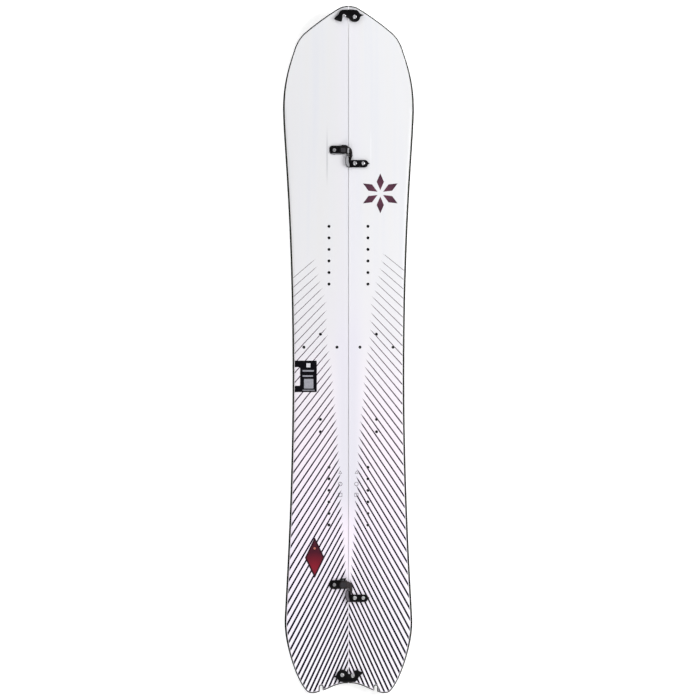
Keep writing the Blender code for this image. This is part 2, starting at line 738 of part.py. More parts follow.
def build_end_hook(prefix, frame, look):
    """Hook, pivot screw, spacer, catch post and their inserts at one end of the board."""
    pivot_hole = circle(HOOK_PIVOT, BORE_RADIUS, HOLE_STEPS)
    hook = prism_mesh([hook_outline(), pivot_hole], *HOOK_LEVEL)
    place_mesh(f"{prefix}_hook", hook, look["clip"], origin=(*HOOK_PIVOT, 0.0), frame=frame)
    spacer = ring_profile(SPACER_RADIUS, GAP, HOOK_LEVEL[0] - GAP)
    turned_node(f"{prefix}_hook_spacer", spacer, HOOK_PIVOT, look["spacer"], frame, ring=True)
    screw_end = bent_insert_levels(frame)[1] - 0.0016
    screw = screw_profile(HOOK_LEVEL[1] + GAP, screw_end)
    turned_node(f"{prefix}_hook_screw", screw, HOOK_PIVOT, look["screw"], frame)
    head = HOOK_LEVEL[1] + GAP
    post = [
        (0.0, head + 0.0016), (0.0032, head + 0.0016), (0.0040, head + 0.0010), (0.0040, head),
        (SCREW_RADIUS, head), (SCREW_RADIUS, HOOK_LEVEL[0] - GAP), (0.0052, HOOK_LEVEL[0] - GAP),
        (0.0052, GAP), (SCREW_RADIUS, GAP), (SCREW_RADIUS, screw_end), (0.0, screw_end),
    ]
    turned_node(f"{prefix}_catch_post", post, HOOK_POST, look["screw"], frame)
    bottom, top = bent_insert_levels(frame)
    for name, point in (("hook_insert", HOOK_PIVOT), ("post_insert", HOOK_POST)):
        ring = ring_profile(INSERT_RADIUS, bottom, top)
        turned_node(f"{prefix}_{name}", ring, point, look["insert"], frame, ring=True)


def bent_insert_levels(frame):
    """Lowest and highest level of the core at an end hook, measured from the topsheet."""
    y = frame.location.y
    surface = bent_height(y, TOPSHEET[1])
    lean = math.cos(math.atan(slope_at(y, TOPSHEET[1])))
    top = (bent_height(y, CORE_TOP) - surface) * lean
    bottom = (bent_height(y, CORE_BOTTOM) - surface) * lean
    return bottom + 0.0001, top


# ---------------------------------------------------------------- the board
def build():
    """Builds the whole splitboard."""
    look = {
        "topsheet": topsheet_plastic("topsheet_plastic"),
        "laminate": laminate("glass_laminate"),
        "wood": core_wood("core_wood"),
        "sidewall": sidewall_plastic("sidewall_plastic"),
        "edge": edge_steel("edge_steel"),
        "base": base_plastic("base_plastic"),
        "screw": screw_steel("screw_steel"),
        "insert": insert_steel("insert_steel"),
        "clip": clip_black("clip_black"),
        "lever": clip_black("lever_black"),
        "catch": clip_grey("catch_grey"),
        "spacer": spacer_plastic("spacer_plastic"),
    }
    nose_frame = clip_frame("nose_clip_frame", NOSE_CLIP_Y)
    tail_frame = clip_frame("tail_clip_frame", TAIL_CLIP_Y, turned=True)
    for side in SIDES:
        build_half(side, look, (nose_frame, tail_frame))
    build_lever_clip("front", FRONT_CLIP_Y, look)
    build_lever_clip("rear", REAR_CLIP_Y, look)
    build_end_hook("nose", nose_frame, look)
    build_end_hook("tail", tail_frame, look)


clear_scene()
parts = new_collection("splitboard")
cutters = new_collection("cutters")
build()
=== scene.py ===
"""Looks of the splitboard: layered halves, printed topsheet, clips, hooks, and a plain studio.

Everything is in metres, in the frame of the CAD part: nose towards +Y, topsheet up, cut at X = 0.
"""

import math

import bmesh
import bpy
from mathutils import Matrix, Vector
from mathutils.geometry import delaunay_2d_cdt, interpolate_bezier


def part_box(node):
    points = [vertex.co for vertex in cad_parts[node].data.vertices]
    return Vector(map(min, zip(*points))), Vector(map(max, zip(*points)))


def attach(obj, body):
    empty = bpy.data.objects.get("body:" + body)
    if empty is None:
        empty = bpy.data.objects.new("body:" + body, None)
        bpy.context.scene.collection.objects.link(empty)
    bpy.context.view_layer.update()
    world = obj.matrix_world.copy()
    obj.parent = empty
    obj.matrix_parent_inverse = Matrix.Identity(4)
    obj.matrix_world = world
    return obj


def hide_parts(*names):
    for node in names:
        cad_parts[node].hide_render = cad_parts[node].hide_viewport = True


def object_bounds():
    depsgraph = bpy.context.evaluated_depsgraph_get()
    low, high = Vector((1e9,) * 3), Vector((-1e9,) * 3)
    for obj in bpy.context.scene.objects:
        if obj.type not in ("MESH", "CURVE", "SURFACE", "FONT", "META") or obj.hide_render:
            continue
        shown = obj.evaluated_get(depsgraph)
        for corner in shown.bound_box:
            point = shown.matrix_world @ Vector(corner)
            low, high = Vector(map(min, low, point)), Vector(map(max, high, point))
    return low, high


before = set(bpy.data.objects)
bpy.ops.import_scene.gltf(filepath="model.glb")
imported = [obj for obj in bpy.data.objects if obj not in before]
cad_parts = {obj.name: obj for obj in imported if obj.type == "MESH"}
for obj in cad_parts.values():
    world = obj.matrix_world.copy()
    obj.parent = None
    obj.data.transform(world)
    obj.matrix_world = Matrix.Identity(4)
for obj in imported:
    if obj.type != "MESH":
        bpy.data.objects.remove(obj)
cad_low, cad_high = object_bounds()

# ---------------------------------------------------------------- the board, as in the CAD part
HALF_SEAM = 0.0005
NOSE_Y = cad_high.y
TAIL_SEAM_Y = -0.7330
OUTLINE = (                 # knot, incoming handle, outgoing handle
    ((0.0000, 0.7545), None, (0.0140, 0.7545)),
    ((0.0320, 0.7430), (0.0220, 0.7495), (0.0510, 0.7310)),
    ((0.0930, 0.6985), (0.0760, 0.7130), (0.1080, 0.6870)),
    ((0.1200, 0.6560), (0.1160, 0.6700), (0.1310, 0.6240)),
    ((0.1440, 0.5300), (0.1440, 0.5850), (0.1440, 0.4600)),
    ((0.1230, -0.0650), (0.1230, 0.2900), (0.1230, -0.3300)),
    ((0.1405, -0.5980), (0.1395, -0.5550), (0.1405, -0.6450)),
    ((0.1120, -0.7180), (0.1210, -0.6980), (0.1060, -0.7310)),
    ((0.0910, -0.7510), (0.0985, -0.7440), (0.0880, -0.7538)),
    ((0.0785, -0.7545), (0.0830, -0.7545), (0.0740, -0.7545)),
    ((0.0646, -0.7517), (0.0690, -0.7532), (0.0636, -0.7513)),
    ((0.0630, -0.7498), (0.0630, -0.7506), (0.0630, -0.7470)),
    ((0.0630, -0.7410), (0.0630, -0.7440), (0.0630, -0.7393)),
    ((0.0600, -0.7380), (0.0617, -0.7380), (0.0583, -0.7380)),
    ((0.0570, -0.7410), (0.0570, -0.7393), (0.0570, -0.7430)),
    ((0.0570, -0.7476), (0.0570, -0.7460), (0.0570, -0.7484)),
    ((0.0556, -0.7487), (0.0563, -0.7489), (0.0530, -0.7480)),
    ((0.0358, -0.7405), (0.0430, -0.7438), (0.0290, -0.7374)),
    ((0.0120, -0.7334), (0.0190, -0.7345), (0.0080, -0.7330)),
    ((0.0000, -0.7330), (0.0040, -0.7330), None),
)
OUTER_STRETCHES = 8         # the stretches of the outline that run from the nose to the tail lobe
STRETCH_STEP = 0.0045       # spacing of points along the outline
TAIL_FADE = 0.012           # length over which the side wall thins towards the tail
ROW_STEP = 0.0070           # spacing of points along the seam and of rows across a sheet

# Heights of the stack where it is flat; the layers touch
BASE_TOP = 0.00175
LOWER_GLASS_TOP = 0.00285
CORE_BOTTOM = 0.0030
CORE_MID = 0.0048
CORE_CLIP = 0.0038
CORE_TIP = 0.0020
WALL_TOP = 0.00795
UPPER_GLASS_TOP = 0.00905
SURFACE = 0.0098
EDGE_WIDTH = 0.0022
OUTER_EDGE_END = -0.7515     # the outer steel edge stops here, short of the tail lobe
WALL_WIDTH = 0.0080
TAIL_WALL_WIDTH = 0.0030
INNER_WALL_WIDTH = 0.0032

CAMBER = 0.0040
NOSE_RISE = 0.0420
TAIL_RISE = 0.0160
FRONT_CONTACT = (0.3940, 0.4560)
REAR_CONTACT = (-0.5000, -0.5620)

RIM_WIDE = 0.0046           # slanted rim beside the topsheet, along the sides
RIM_NARROW = 0.0030         # the same at nose and tail
FLAT_ANGLE = math.radians(32)
SNAP = 1e-8                 # points nearer than this are one when an area is filled

# Threaded inserts
INSERT_PITCH = 0.0254
INSERT_ROW_X = 0.0428
INSERTS_IN_ROW = 6
FRONT_PACK_Y = 0.2080
REAR_PACK_Y = -0.3217
TOURING_POINTS = ((0.0252, 0.0058), (0.0980, 0.0058), (0.0615, 0.0343))
HEEL_POINTS = ((0.0617, -0.1529), (0.0617, -0.1802))
INSERT_RADIUS = 0.0047
HOLE_RADIUS = 0.0033
BORE_RADIUS = 0.0030
STRIP_MARGIN = 0.0066
STRIP_TOP = 0.0036

# Clips, measured from their own frames on the topsheet
CLIP_SCREW = (-0.0310, 0.0145)
CATCH_SCREWS = ((0.0140, -0.0145), (0.0325, -0.0145))
LEVER_PIVOT = (-0.0120, 0.0145)
HOOK_PIVOT = (0.0136, 0.0000)
HOOK_POST = (-0.0095, 0.0015)
PLATE_BOTTOM = 0.0003
PLATE_TOP = 0.0033
LEVER_BOTTOM = 0.0036
LEVER_TOP = 0.0070
HOOK_BOTTOM = 0.0018
HOOK_TOP = 0.0050
SCREW_HOLE = 0.0028
HEAD_GAP = 0.0003           # between a screw's head and what lies under it
SHANK_END = -0.0050
FRONT_TAB = [(-0.0022, 0.0235), (-0.0045, 0.0262), (-0.0150, 0.0262), (-0.0168, 0.0240)]
REAR_TAB = [                # a bar that stands clear of the disc
    (-0.0040, 0.0226), (-0.0140, 0.0230), (-0.0142, 0.0252), (-0.0050, 0.0255), (-0.0046, 0.0288),
    (-0.0190, 0.0288), (-0.0192, 0.0240),
]

SIDES = {"left": -1, "right": 1}


# ---------------------------------------------------------------- side profile
def base_height(y):
    """Height of the base along the board: camber between the contacts, rocker beyond them."""
    if y > FRONT_CONTACT[1]:
        return NOSE_RISE * ((y - FRONT_CONTACT[1]) / (NOSE_Y - FRONT_CONTACT[1])) ** 2
    if y < REAR_CONTACT[1]:
        return TAIL_RISE * ((y - REAR_CONTACT[1]) / (NOSE_Y + REAR_CONTACT[1])) ** 2
    if y >= FRONT_CONTACT[0] or y <= REAR_CONTACT[0]:
        return 0.0
    share = (y - REAR_CONTACT[0]) / (FRONT_CONTACT[0] - REAR_CONTACT[0])
    return CAMBER * (0.5 - 0.5 * math.cos(2 * math.pi * share))


def read_off(knots, y):
    """Reads a value off a list of (y, value) knots that runs from nose to tail."""
    for (y_high, high), (y_low, low) in zip(knots, knots[1:]):
        if y >= y_low:
            return low + (high - low) * min((y - y_low) / (y_high - y_low), 1.0)
    return knots[-1][1]


def core_thickness(y):
    """Core thickness along the board: thick underfoot, thin at the tips."""
    return read_off((
        (NOSE_Y, CORE_TIP), (FRONT_CONTACT[1], CORE_CLIP), (FRONT_CONTACT[0], CORE_CLIP),
        (0.284, CORE_MID), (-0.397, CORE_MID), (REAR_CONTACT[0], CORE_CLIP),
        (REAR_CONTACT[1], CORE_CLIP), (-NOSE_Y, CORE_TIP),
    ), y)


def lift(y, flat_z):
    """Where a height in the flat stack ends up in the bent board."""
    in_core = min(max(flat_z - CORE_BOTTOM, 0.0), CORE_MID)
    return base_height(y) + flat_z - in_core + in_core * core_thickness(y) / CORE_MID


def blend(value, start, end):
    """0 before start, 1 after end, smooth between."""
    share = min(max((value - start) / (end - start), 0.0), 1.0)
    return share * share * (3 - 2 * share)


def rim_width(y):
    """Width of the slanted rim beside the topsheet."""
    middle = blend(y, 0.66, 0.52) * blend(y, -0.71, -0.62)
    return RIM_NARROW + (RIM_WIDE - RIM_NARROW) * middle


# ---------------------------------------------------------------- outlines
def outline_points():
    """Points of the outer edge and swallow tail, each with how far it belongs to the tail."""
    points = []
    for start, end in zip(OUTLINE, OUTLINE[1:]):
        corners = [Vector((*xy, 0.0)) for xy in (start[0], start[2], end[1], end[0])]
        steps = max(4, round((corners[3] - corners[0]).length / STRETCH_STEP))
        points.append([(p.x, p.y) for p in interpolate_bezier(*corners, steps + 1)[:-1]])
    side = [place for stretch in points[:OUTER_STRETCHES] for place in stretch]
    tail = [place for stretch in points[OUTER_STRETCHES:] for place in stretch] + [OUTLINE[-1][0]]
    nears = [(Vector(place) - Vector(side[-1])).length for place in side]
    shares = [1.0 - blend(near, 0.0, TAIL_FADE) for near in nears] + [1.0] * len(tail)
    return [(*place, share) for place, share in zip(side + tail, shares)]


BOARD_OUTLINE = outline_points()


def half_rim(inset, inner_x):
    """The outer edge and tail of the right half, moved inwards by inset(y, tail share)."""
    points = BOARD_OUTLINE
    moved = []
    last = len(points) - 1
    for i, (x, y, tail) in enumerate(points):
        before = points[max(i - 1, 0)]
        after = points[min(i + 1, last)]
        along = Vector((after[0] - before[0], after[1] - before[1])).normalized()
        if i in (0, last):
            along = Vector((1.0 if i == 0 else -1.0, 0.0))
        distance = inset(y, tail)
        moved.append((x + along.y * distance, y - along.x * distance))
    inside = [p for p in moved if p[0] > inner_x + 0.001]
    first = (inner_x, moved[0][1])
    return [first] + inside + [(inner_x, moved[-1][1])]


def seam_points(rim):
    """Points up the seam from the tail to the nose, between the two ends of a rim."""
    x = rim[0][0]
    low, high = rim[-1][1], rim[0][1]
    count = round((high - low) / ROW_STEP)
    return [(x, low + (high - low) * i / count) for i in range(1, count)]


def half_loop(inset, inner_x=HALF_SEAM):
    """Closed outline of one layer of the right half."""
    rim = half_rim(inset, inner_x)
    return rim + seam_points(rim)


def even(width):
    """An inset that is the same all round."""
    return lambda y, tail: width


def rim_share(share):
    """An inset that is a share of the slanted rim."""
    return lambda y, tail: share * rim_width(y)


def circle(center, radius, steps=24):
    """A circle as a closed outline."""
    angles = [2 * math.pi * i / steps for i in range(steps)]
    return [(center[0] + radius * math.cos(a), center[1] + radius * math.sin(a)) for a in angles]


def arc(center, radius, start_deg, end_deg, steps):
    """Points along an arc."""
    angles = [math.radians(start_deg + (end_deg - start_deg) * i / steps) for i in range(steps + 1)]
    return [(center[0] + radius * math.cos(a), center[1] + radius * math.sin(a)) for a in angles]


def rounded(points, reach, steps=4):
    """A closed outline with its corners rounded, each over at most reach."""
    made = []
    count = len(points)
    for i in range(count):
        here = Vector(points[i])
        back = Vector(points[i - 1]) - here
        on = Vector(points[(i + 1) % count]) - here
        start = here + back.normalized() * min(reach, back.length * 0.49)
        end = here + on.normalized() * min(reach, on.length * 0.49)
        for step in range(steps + 1):
            share = step / steps
            place = start.lerp(here, share).lerp(here.lerp(end, share), share)
            made.append((place.x, place.y))
    return made


def rectangle(x_low, x_high, y_low, y_high, reach=0.0008):
    """A rectangle with small round corners."""
    return rounded([(x_low, y_low), (x_high, y_low), (x_high, y_high), (x_low, y_high)], reach)


def inwards(points, distance):
    """A closed outline moved inwards, less at tight corners."""
    share_of_radius, smoothing_rounds, slack = 0.6, 3, 1.1
    count = len(points)
    turn_sign = 1 if doubled_area(points) > 0 else -1
    normals = []
    limits = []
    for i in range(count):
        back = Vector(points[i]) - Vector(points[i - 1])
        on = Vector(points[(i + 1) % count]) - Vector(points[i])
        turn = back.angle_signed(on, 0.0) * -turn_sign
        along = (back.normalized() + on.normalized()).normalized()
        normals.append(Vector((-along.y, along.x)) * turn_sign)
        radius = 0.5 * (back.length + on.length) / max(turn, 1e-6)
        limits.append(min(distance, share_of_radius * radius))
    for _ in range(smoothing_rounds):
        limits = [
            min(limits[i], (limits[i - 1] + limits[i] + limits[(i + 1) % count]) / 3 * slack)
            for i in range(count)
        ]
    return [
        (p[0] + n.x * limit, p[1] + n.y * limit) for p, n, limit in zip(points, normals, limits)
    ]


def shifted(points, dx, dy):
    """Moves an outline."""
    return [(x + dx, y + dy) for x, y in points]


def insert_points(side):
    """Every group of inserts in one half and its centres, drawn at positive X."""
    first = -INSERT_PITCH * (INSERTS_IN_ROW - 1) / 2
    row = [(INSERT_ROW_X, first + INSERT_PITCH * i) for i in range(INSERTS_IN_ROW)]
    groups = {
        "front_inserts": shifted(row, 0.0, FRONT_PACK_Y),
        "rear_inserts": shifted(row, 0.0, REAR_PACK_Y),
        "touring_inserts": list(TOURING_POINTS),
        "heel_inserts": list(HEEL_POINTS),
    }
    screws = [CLIP_SCREW] if side == "left" else list(CATCH_SCREWS)
    for name in ("front", "rear"):
        y = clip_y(name)
        groups[f"{name}_clip_inserts"] = shifted([(abs(x), dy) for x, dy in screws], 0.0, y)
    return groups


def clip_y(name):
    """Where a lever clip sits along the board, read from its pivot pin."""
    low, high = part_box(f"{name}_lever_pin")
    return (low.y + high.y) / 2 - LEVER_PIVOT[1]


# ---------------------------------------------------------------- meshes
def doubled_area(points):
    """Twice the area inside an outline, negative if it runs clockwise."""
    return sum(a[0] * b[1] - b[0] * a[1] for a, b in zip(points, [*points[1:], points[0]]))


def as_faces(outlines):
    """Points of several outlines in one list, and each outline as an anticlockwise face."""
    points = []
    faces = []
    for outline in outlines:
        numbers = list(range(len(points), len(points) + len(outline)))
        faces.append(numbers if doubled_area(outline) > 0 else numbers[::-1])
        points += [Vector(p) for p in outline]
    return points, faces


def fill(outline, holes, extra=()):
    """Triangles between an outline and its holes, through extra points inside."""
    points, faces = as_faces([outline, *holes])
    points += [Vector(p) for p in extra]
    made = delaunay_2d_cdt(points, [], faces, 1, SNAP, True)
    triangles = [face for face, origin in zip(made[2], made[5]) if origin == [0]]
    return made[0], triangles, made[3]


def add_cap(work, rings, extra, z):
    """Fills the space between rings of vertices, the first outside, at height z."""
    outlines = [[(v.co.x, v.co.y) for v in ring] for ring in rings]
    known = [v for ring in rings for v in ring]
    places, triangles, origins = fill(outlines[0], outlines[1:], extra)
    verts = []
    for place, origin in zip(places, origins):
        ids = [o for o in origin if o < len(known)]
        verts.append(known[ids[0]] if ids else work.verts.new((place.x, place.y, z)))
    for triangle in triangles:
        corners = [verts[i] for i in triangle]
        if len(set(corners)) == 3 and not work.faces.get(corners):
            work.faces.new(corners)


def add_wall(work, loops):
    """Joins closed loops of (points, z) with faces, and returns their rings of vertices."""
    rings = [[work.verts.new((x, y, z)) for x, y in points] for points, z in loops]
    for low, high in zip(rings, rings[1:]):
        count = len(low)
        for i in range(count):
            on = (i + 1) % count
            work.faces.new((low[i], low[on], high[on], high[i]))
    return rings


def layered(loops, through=(), pockets=(), extra=()):
    """A closed solid: loops of (points, z) from bottom to top, holes right through, and pockets.

    A hole is listed from bottom to top, a pocket from its mouth to its floor.
    """
    work = bmesh.new()
    rings = add_wall(work, loops)
    hole_rings = [add_wall(work, hole) for hole in through]
    pocket_rings = [add_wall(work, pocket) for pocket in pockets]
    add_cap(work, [rings[0]] + [h[0] for h in hole_rings], extra, loops[0][1])
    mouths = [h[-1] for h in hole_rings] + [p[0] for p in pocket_rings]
    add_cap(work, [rings[-1]] + mouths, extra, loops[-1][1])
    for pocket in pocket_rings:
        work.faces.new(pocket[-1])
    return work


def joined(parts):
    """Several closed solids as one working mesh."""
    work = bmesh.new()
    for part in parts:
        mesh = bpy.data.meshes.new("part")
        part.to_mesh(mesh)
        part.free()
        work.from_mesh(mesh)
        bpy.data.meshes.remove(mesh)
    return work


def bend(work):
    """Lifts a flat layer onto the board's side profile."""
    for vert in work.verts:
        vert.co.z = lift(vert.co.y, vert.co.z)
    return work


def strip(rails):
    """A closed solid swept along rails, which are lines of points listed round its section."""
    work = bmesh.new()
    lines = [[work.verts.new(p) for p in rail] for rail in rails]
    count = len(lines)
    for k in range(count):
        one, two = lines[k], lines[(k + 1) % count]
        for i in range(len(one) - 1):
            work.faces.new((one[i], one[i + 1], two[i + 1], two[i]))
    work.faces.new([line[0] for line in lines])
    work.faces.new([line[-1] for line in lines])
    return work


def finish_piece(work, name, looks, body, nodes=(), matrix=None, side="right"):
    """Turns a working mesh into a piece that rides on a body and stands for CAD nodes."""
    if side == "left":
        bmesh.ops.scale(work, vec=(-1, 1, 1), verts=work.verts)
    bmesh.ops.remove_doubles(work, verts=work.verts, dist=1e-7)
    bmesh.ops.recalc_face_normals(work, faces=work.faces)
    mesh = bpy.data.meshes.new(name)
    work.to_mesh(mesh)
    work.free()
    if matrix is not None:
        mesh.transform(matrix)
    mesh.shade_smooth()
    mesh.set_sharp_from_angle(angle=FLAT_ANGLE)
    for look in looks:
        mesh.materials.append(LOOKS[look])
    piece = bpy.data.objects.new(name, mesh)
    bpy.context.scene.collection.objects.link(piece)
    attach(piece, body)
    if nodes:
        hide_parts(*nodes)


# ---------------------------------------------------------------- material helpers
class Look:
    """A Principled material whose colour, gloss and relief are made of nodes."""

    def __init__(self, name, **sockets):
        self.material = bpy.data.materials.new(name)
        self.material.use_nodes = True
        self.tree = self.material.node_tree
        self.shader = self.tree.nodes["Principled BSDF"]
        for key, value in sockets.items():
            self.shader.inputs[key.replace("_", " ")].default_value = value
        self.coords = self.add("ShaderNodeTexCoord").outputs["Object"]

    def add(self, kind, inputs=None, **settings):
        """Adds a node and sets or links its inputs."""
        made = self.tree.nodes.new(kind)
        for key, value in settings.items():
            setattr(made, key, value)
        for key, value in (inputs or {}).items():
            self.feed(made.inputs[key], value)
        return made

    def feed(self, socket, value):
        """Links a socket to another, or sets its value."""
        if isinstance(value, bpy.types.NodeSocket):
            self.tree.links.new(value, socket)
        else:
            socket.default_value = value

    def axis(self, name):
        """One object coordinate."""
        split = self.add("ShaderNodeSeparateXYZ", {"Vector": self.coords})
        return split.outputs[name]

    def stretched(self, scale):
        """Object coordinates, scaled along each axis."""
        mapping = self.add("ShaderNodeMapping", {"Vector": self.coords, "Scale": scale})
        return mapping.outputs["Vector"]

    def noise(self, scale, detail=3.0, roughness=0.55):
        """Noise whose grain is set along each axis, in grains per metre."""
        made = self.add(
            "ShaderNodeTexNoise",
            {"Vector": self.stretched(scale), "Scale": 1.0, "Detail": detail, "Roughness": roughness},
        )
        return made.outputs["Fac"]

    def math(self, operation, one, two=0.0, clamp=False):
        """Arithmetic on two values."""
        made = self.add("ShaderNodeMath", operation=operation, use_clamp=clamp)
        self.feed(made.inputs[0], one)
        self.feed(made.inputs[1], two)
        return made.outputs[0]

    def times(self, one, two):
        """Product of two values."""
        return self.math("MULTIPLY", one, two)

    def spread(self, value, from_low, from_high, low=0.0, high=1.0, smooth=False):
        """Maps a range of values to another."""
        kind = "SMOOTHSTEP" if smooth else "LINEAR"
        made = self.add(
            "ShaderNodeMapRange",
            {"Value": value, "From Min": from_low, "From Max": from_high,
             "To Min": low, "To Max": high},
            interpolation_type=kind,
        )
        return made.outputs["Result"]

    def ramp(self, value, stops):
        """Colours along a value: (place, colour) pairs."""
        made = self.add("ShaderNodeValToRGB", {"Fac": value})
        elements = made.color_ramp.elements
        while len(elements) < len(stops):
            elements.new(0.5)
        for element, (place, color) in zip(elements, stops):
            element.position = place
            element.color = (*color, 1.0)
        return made.outputs["Color"]

    def mix(self, share, one, two, blend_type="MIX"):
        """Mixes two colours."""
        made = self.add("ShaderNodeMix", data_type="RGBA", blend_type=blend_type)
        self.feed(made.inputs[0], share)
        for index, value in ((6, one), (7, two)):
            plain = isinstance(value, tuple) and len(value) == 3
            self.feed(made.inputs[index], (*value, 1.0) if plain else value)
        return made.outputs[2]

    def over(self, color, above, noise, start, end, strength=1.0):
        """Lets another colour show where a noise is high."""
        return self.mix(self.spread(noise, start, end, 0.0, strength), color, above)

    def relief(self, height, strength, distance):
        """Adds bump on top of any bump that is already there."""
        inputs = {"Height": height, "Strength": strength, "Distance": distance}
        old = self.shader.inputs["Normal"]
        if old.is_linked:
            inputs["Normal"] = old.links[0].from_socket
        made = self.add("ShaderNodeBump", inputs)
        self.tree.links.new(made.outputs["Normal"], old)

    def vary(self, grain, low, high):
        """A value between two others, which follows a grain."""
        return self.spread(grain, 0.3, 0.7, low, high)

    def done(self, color, roughness):
        """Feeds colour and roughness to the shader, and returns the material."""
        self.feed(self.shader.inputs["Base Color"], color)
        self.feed(self.shader.inputs["Roughness"], roughness)
        return self.material


# ---------------------------------------------------------------- materials
def topsheet_look():
    """Satin white film: cool at the nose, faintly lilac towards the tail, with painted light on the
    right half and painted reflection bands in the upper half.
    """
    look = Look("topsheet_film", Coat_Weight=0.06, Coat_Roughness=0.18, Specular_IOR_Level=0.22)
    x, y = look.axis("X"), look.axis("Y")
    tint = look.ramp(look.spread(y, -NOSE_Y, NOSE_Y), (
        (0.00, (0.800, 0.770, 0.830)), (0.10, (0.795, 0.752, 0.826)),
        (0.24, (0.790, 0.722, 0.812)), (0.36, (0.772, 0.712, 0.772)),
        (0.44, (0.728, 0.690, 0.738)), (0.52, (0.670, 0.658, 0.690)),
        (0.66, (0.650, 0.650, 0.668)), (0.80, (0.636, 0.638, 0.658)),
        (1.00, (0.648, 0.652, 0.670)),
    ))

    # painted light from the key on the right: the right half is a little lighter, most of all near the
    # nose
    right = look.spread(x, -0.0010, 0.0010)
    upper_half = look.spread(y, -0.35, -0.05, 0.35, 1.0, smooth=True)
    key_lit_tint = look.mix(1.0, tint, (1.036, 1.036, 1.034), "MULTIPLY")
    tint = look.mix(look.times(right, upper_half), tint, key_lit_tint)

    # painted reflection of the studio: lengthwise bands, cool and warm, in the upper half
    reflection_band_color = look.ramp(look.noise((38.0, 1.1, 1.0), detail=2.0), (
        (0.30, (0.955, 0.965, 1.0)), (0.5, (1.0, 1.0, 1.0)), (0.70, (1.0, 0.992, 0.975)),
    ))
    upper = look.spread(y, 0.02, 0.30, 0.0, 0.85, smooth=True)
    tint = look.mix(upper, tint, look.mix(1.0, tint, reflection_band_color, "MULTIPLY"))

    # lilac stretch beside the cut, between the bindings
    beside = look.spread(look.math("ABSOLUTE", x), 0.012, 0.040, 1.0, 0.0, smooth=True)
    above_rear = look.spread(y, -0.42, -0.30, 0.0, 1.0, smooth=True)
    below_front = look.spread(y, 0.14, 0.00, 0.35, 1.0, smooth=True)
    stretch = look.times(beside, look.times(above_rear, below_front))
    tint = look.mix(stretch, tint, (0.662, 0.648, 0.708))

    # one dark and one pale hairline near the front clip
    for line_x, y_low, y_high, color, strength in (
        (-0.0470, 0.350, 0.500, (0.30, 0.30, 0.33), 0.48),
        (0.0490, 0.385, 0.495, (0.95, 0.95, 0.97), 0.16),
    ):
        from_line = look.math("ABSOLUTE", look.math("SUBTRACT", x, line_x))
        line = look.spread(from_line, 0.0, 0.0028, 1.0, 0.0, smooth=True)
        middle = (y_low + y_high) / 2
        along_line = look.math("ABSOLUTE", look.math("SUBTRACT", y, middle))
        fade = look.spread(along_line, 0.010, (y_high - y_low) / 2, 1.0, 0.0, smooth=True)
        tint = look.mix(look.times(look.times(line, fade), strength), tint, color)

    gloss = look.vary(look.noise((9, 9, 9), detail=2.0), 0.290, 0.305)
    marks = look.noise((1400, 18, 60), detail=4.0, roughness=0.6)
    scuffs = look.spread(marks, 0.66, 0.84, 0.0, 0.03)
    look.relief(look.noise((1600, 1600, 1600), detail=1.0), 0.05, 0.00002)
    weave = look.add(
        "ShaderNodeTexWave",
        {"Vector": look.coords, "Scale": 155.0, "Distortion": 0.6, "Detail": 1.0},
        wave_type="BANDS", bands_direction="DIAGONAL",
    )
    look.relief(weave.outputs["Fac"], 0.03, 0.00002)
    return look.done(tint, look.math("ADD", gloss, scuffs))


def ink_look():
    """Black ink under the film, faintly plum in the middle of the board."""
    look = Look("stripe_ink", Coat_Weight=0.06, Coat_Roughness=0.18, Specular_IOR_Level=0.12)
    along = look.spread(look.axis("Y"), -NOSE_Y, NOSE_Y)
    color = look.ramp(along, (
        (0.00, (0.007, 0.004, 0.012)), (0.15, (0.008, 0.004, 0.014)),
        (0.35, (0.022, 0.006, 0.026)), (0.48, (0.040, 0.016, 0.038)),
        (0.62, (0.055, 0.044, 0.046)), (0.80, (0.080, 0.076, 0.080)),
    ))
    grain = look.noise((1500, 1500, 1500), detail=2.0)
    color = look.over(color, (0.10, 0.09, 0.11), grain, 0.45, 0.75, 0.05)
    return look.done(color, look.vary(grain, 0.25, 0.38))


def print_look(name, middle, edge, center, reach):
    """Printed ink that fades from one colour in the middle to another at the edge."""
    look = Look(name, Coat_Weight=0.06, Coat_Roughness=0.18, Specular_IOR_Level=0.18)
    place = look.add("ShaderNodeVectorMath", {0: look.coords, 1: (*center, 0.0)}, operation="SUBTRACT")
    flat = look.add("ShaderNodeVectorMath", {0: place.outputs[0], 1: (1, 1, 0)}, operation="MULTIPLY")
    far = look.add("ShaderNodeVectorMath", {0: flat.outputs[0]}, operation="LENGTH")
    share = look.spread(far.outputs["Value"], 0.15 * reach, reach)
    grain = look.noise((700, 700, 700), detail=3.0)
    share = look.math("ADD", share, look.vary(grain, -0.08, 0.08), clamp=True)
    color = look.mix(share, middle, edge)
    return look.done(color, look.vary(grain, 0.28, 0.40))


def vinyl_look(name, color, pale):
    """Satin vinyl with faint mottling."""
    look = Look(name, Specular_IOR_Level=0.08)
    grain = look.noise((420, 420, 420), detail=4.0)
    tint = look.over(color, pale, grain, 0.35, 0.75)
    look.relief(grain, 0.15, 0.00008)
    return look.done(tint, look.vary(grain, 0.38, 0.52))


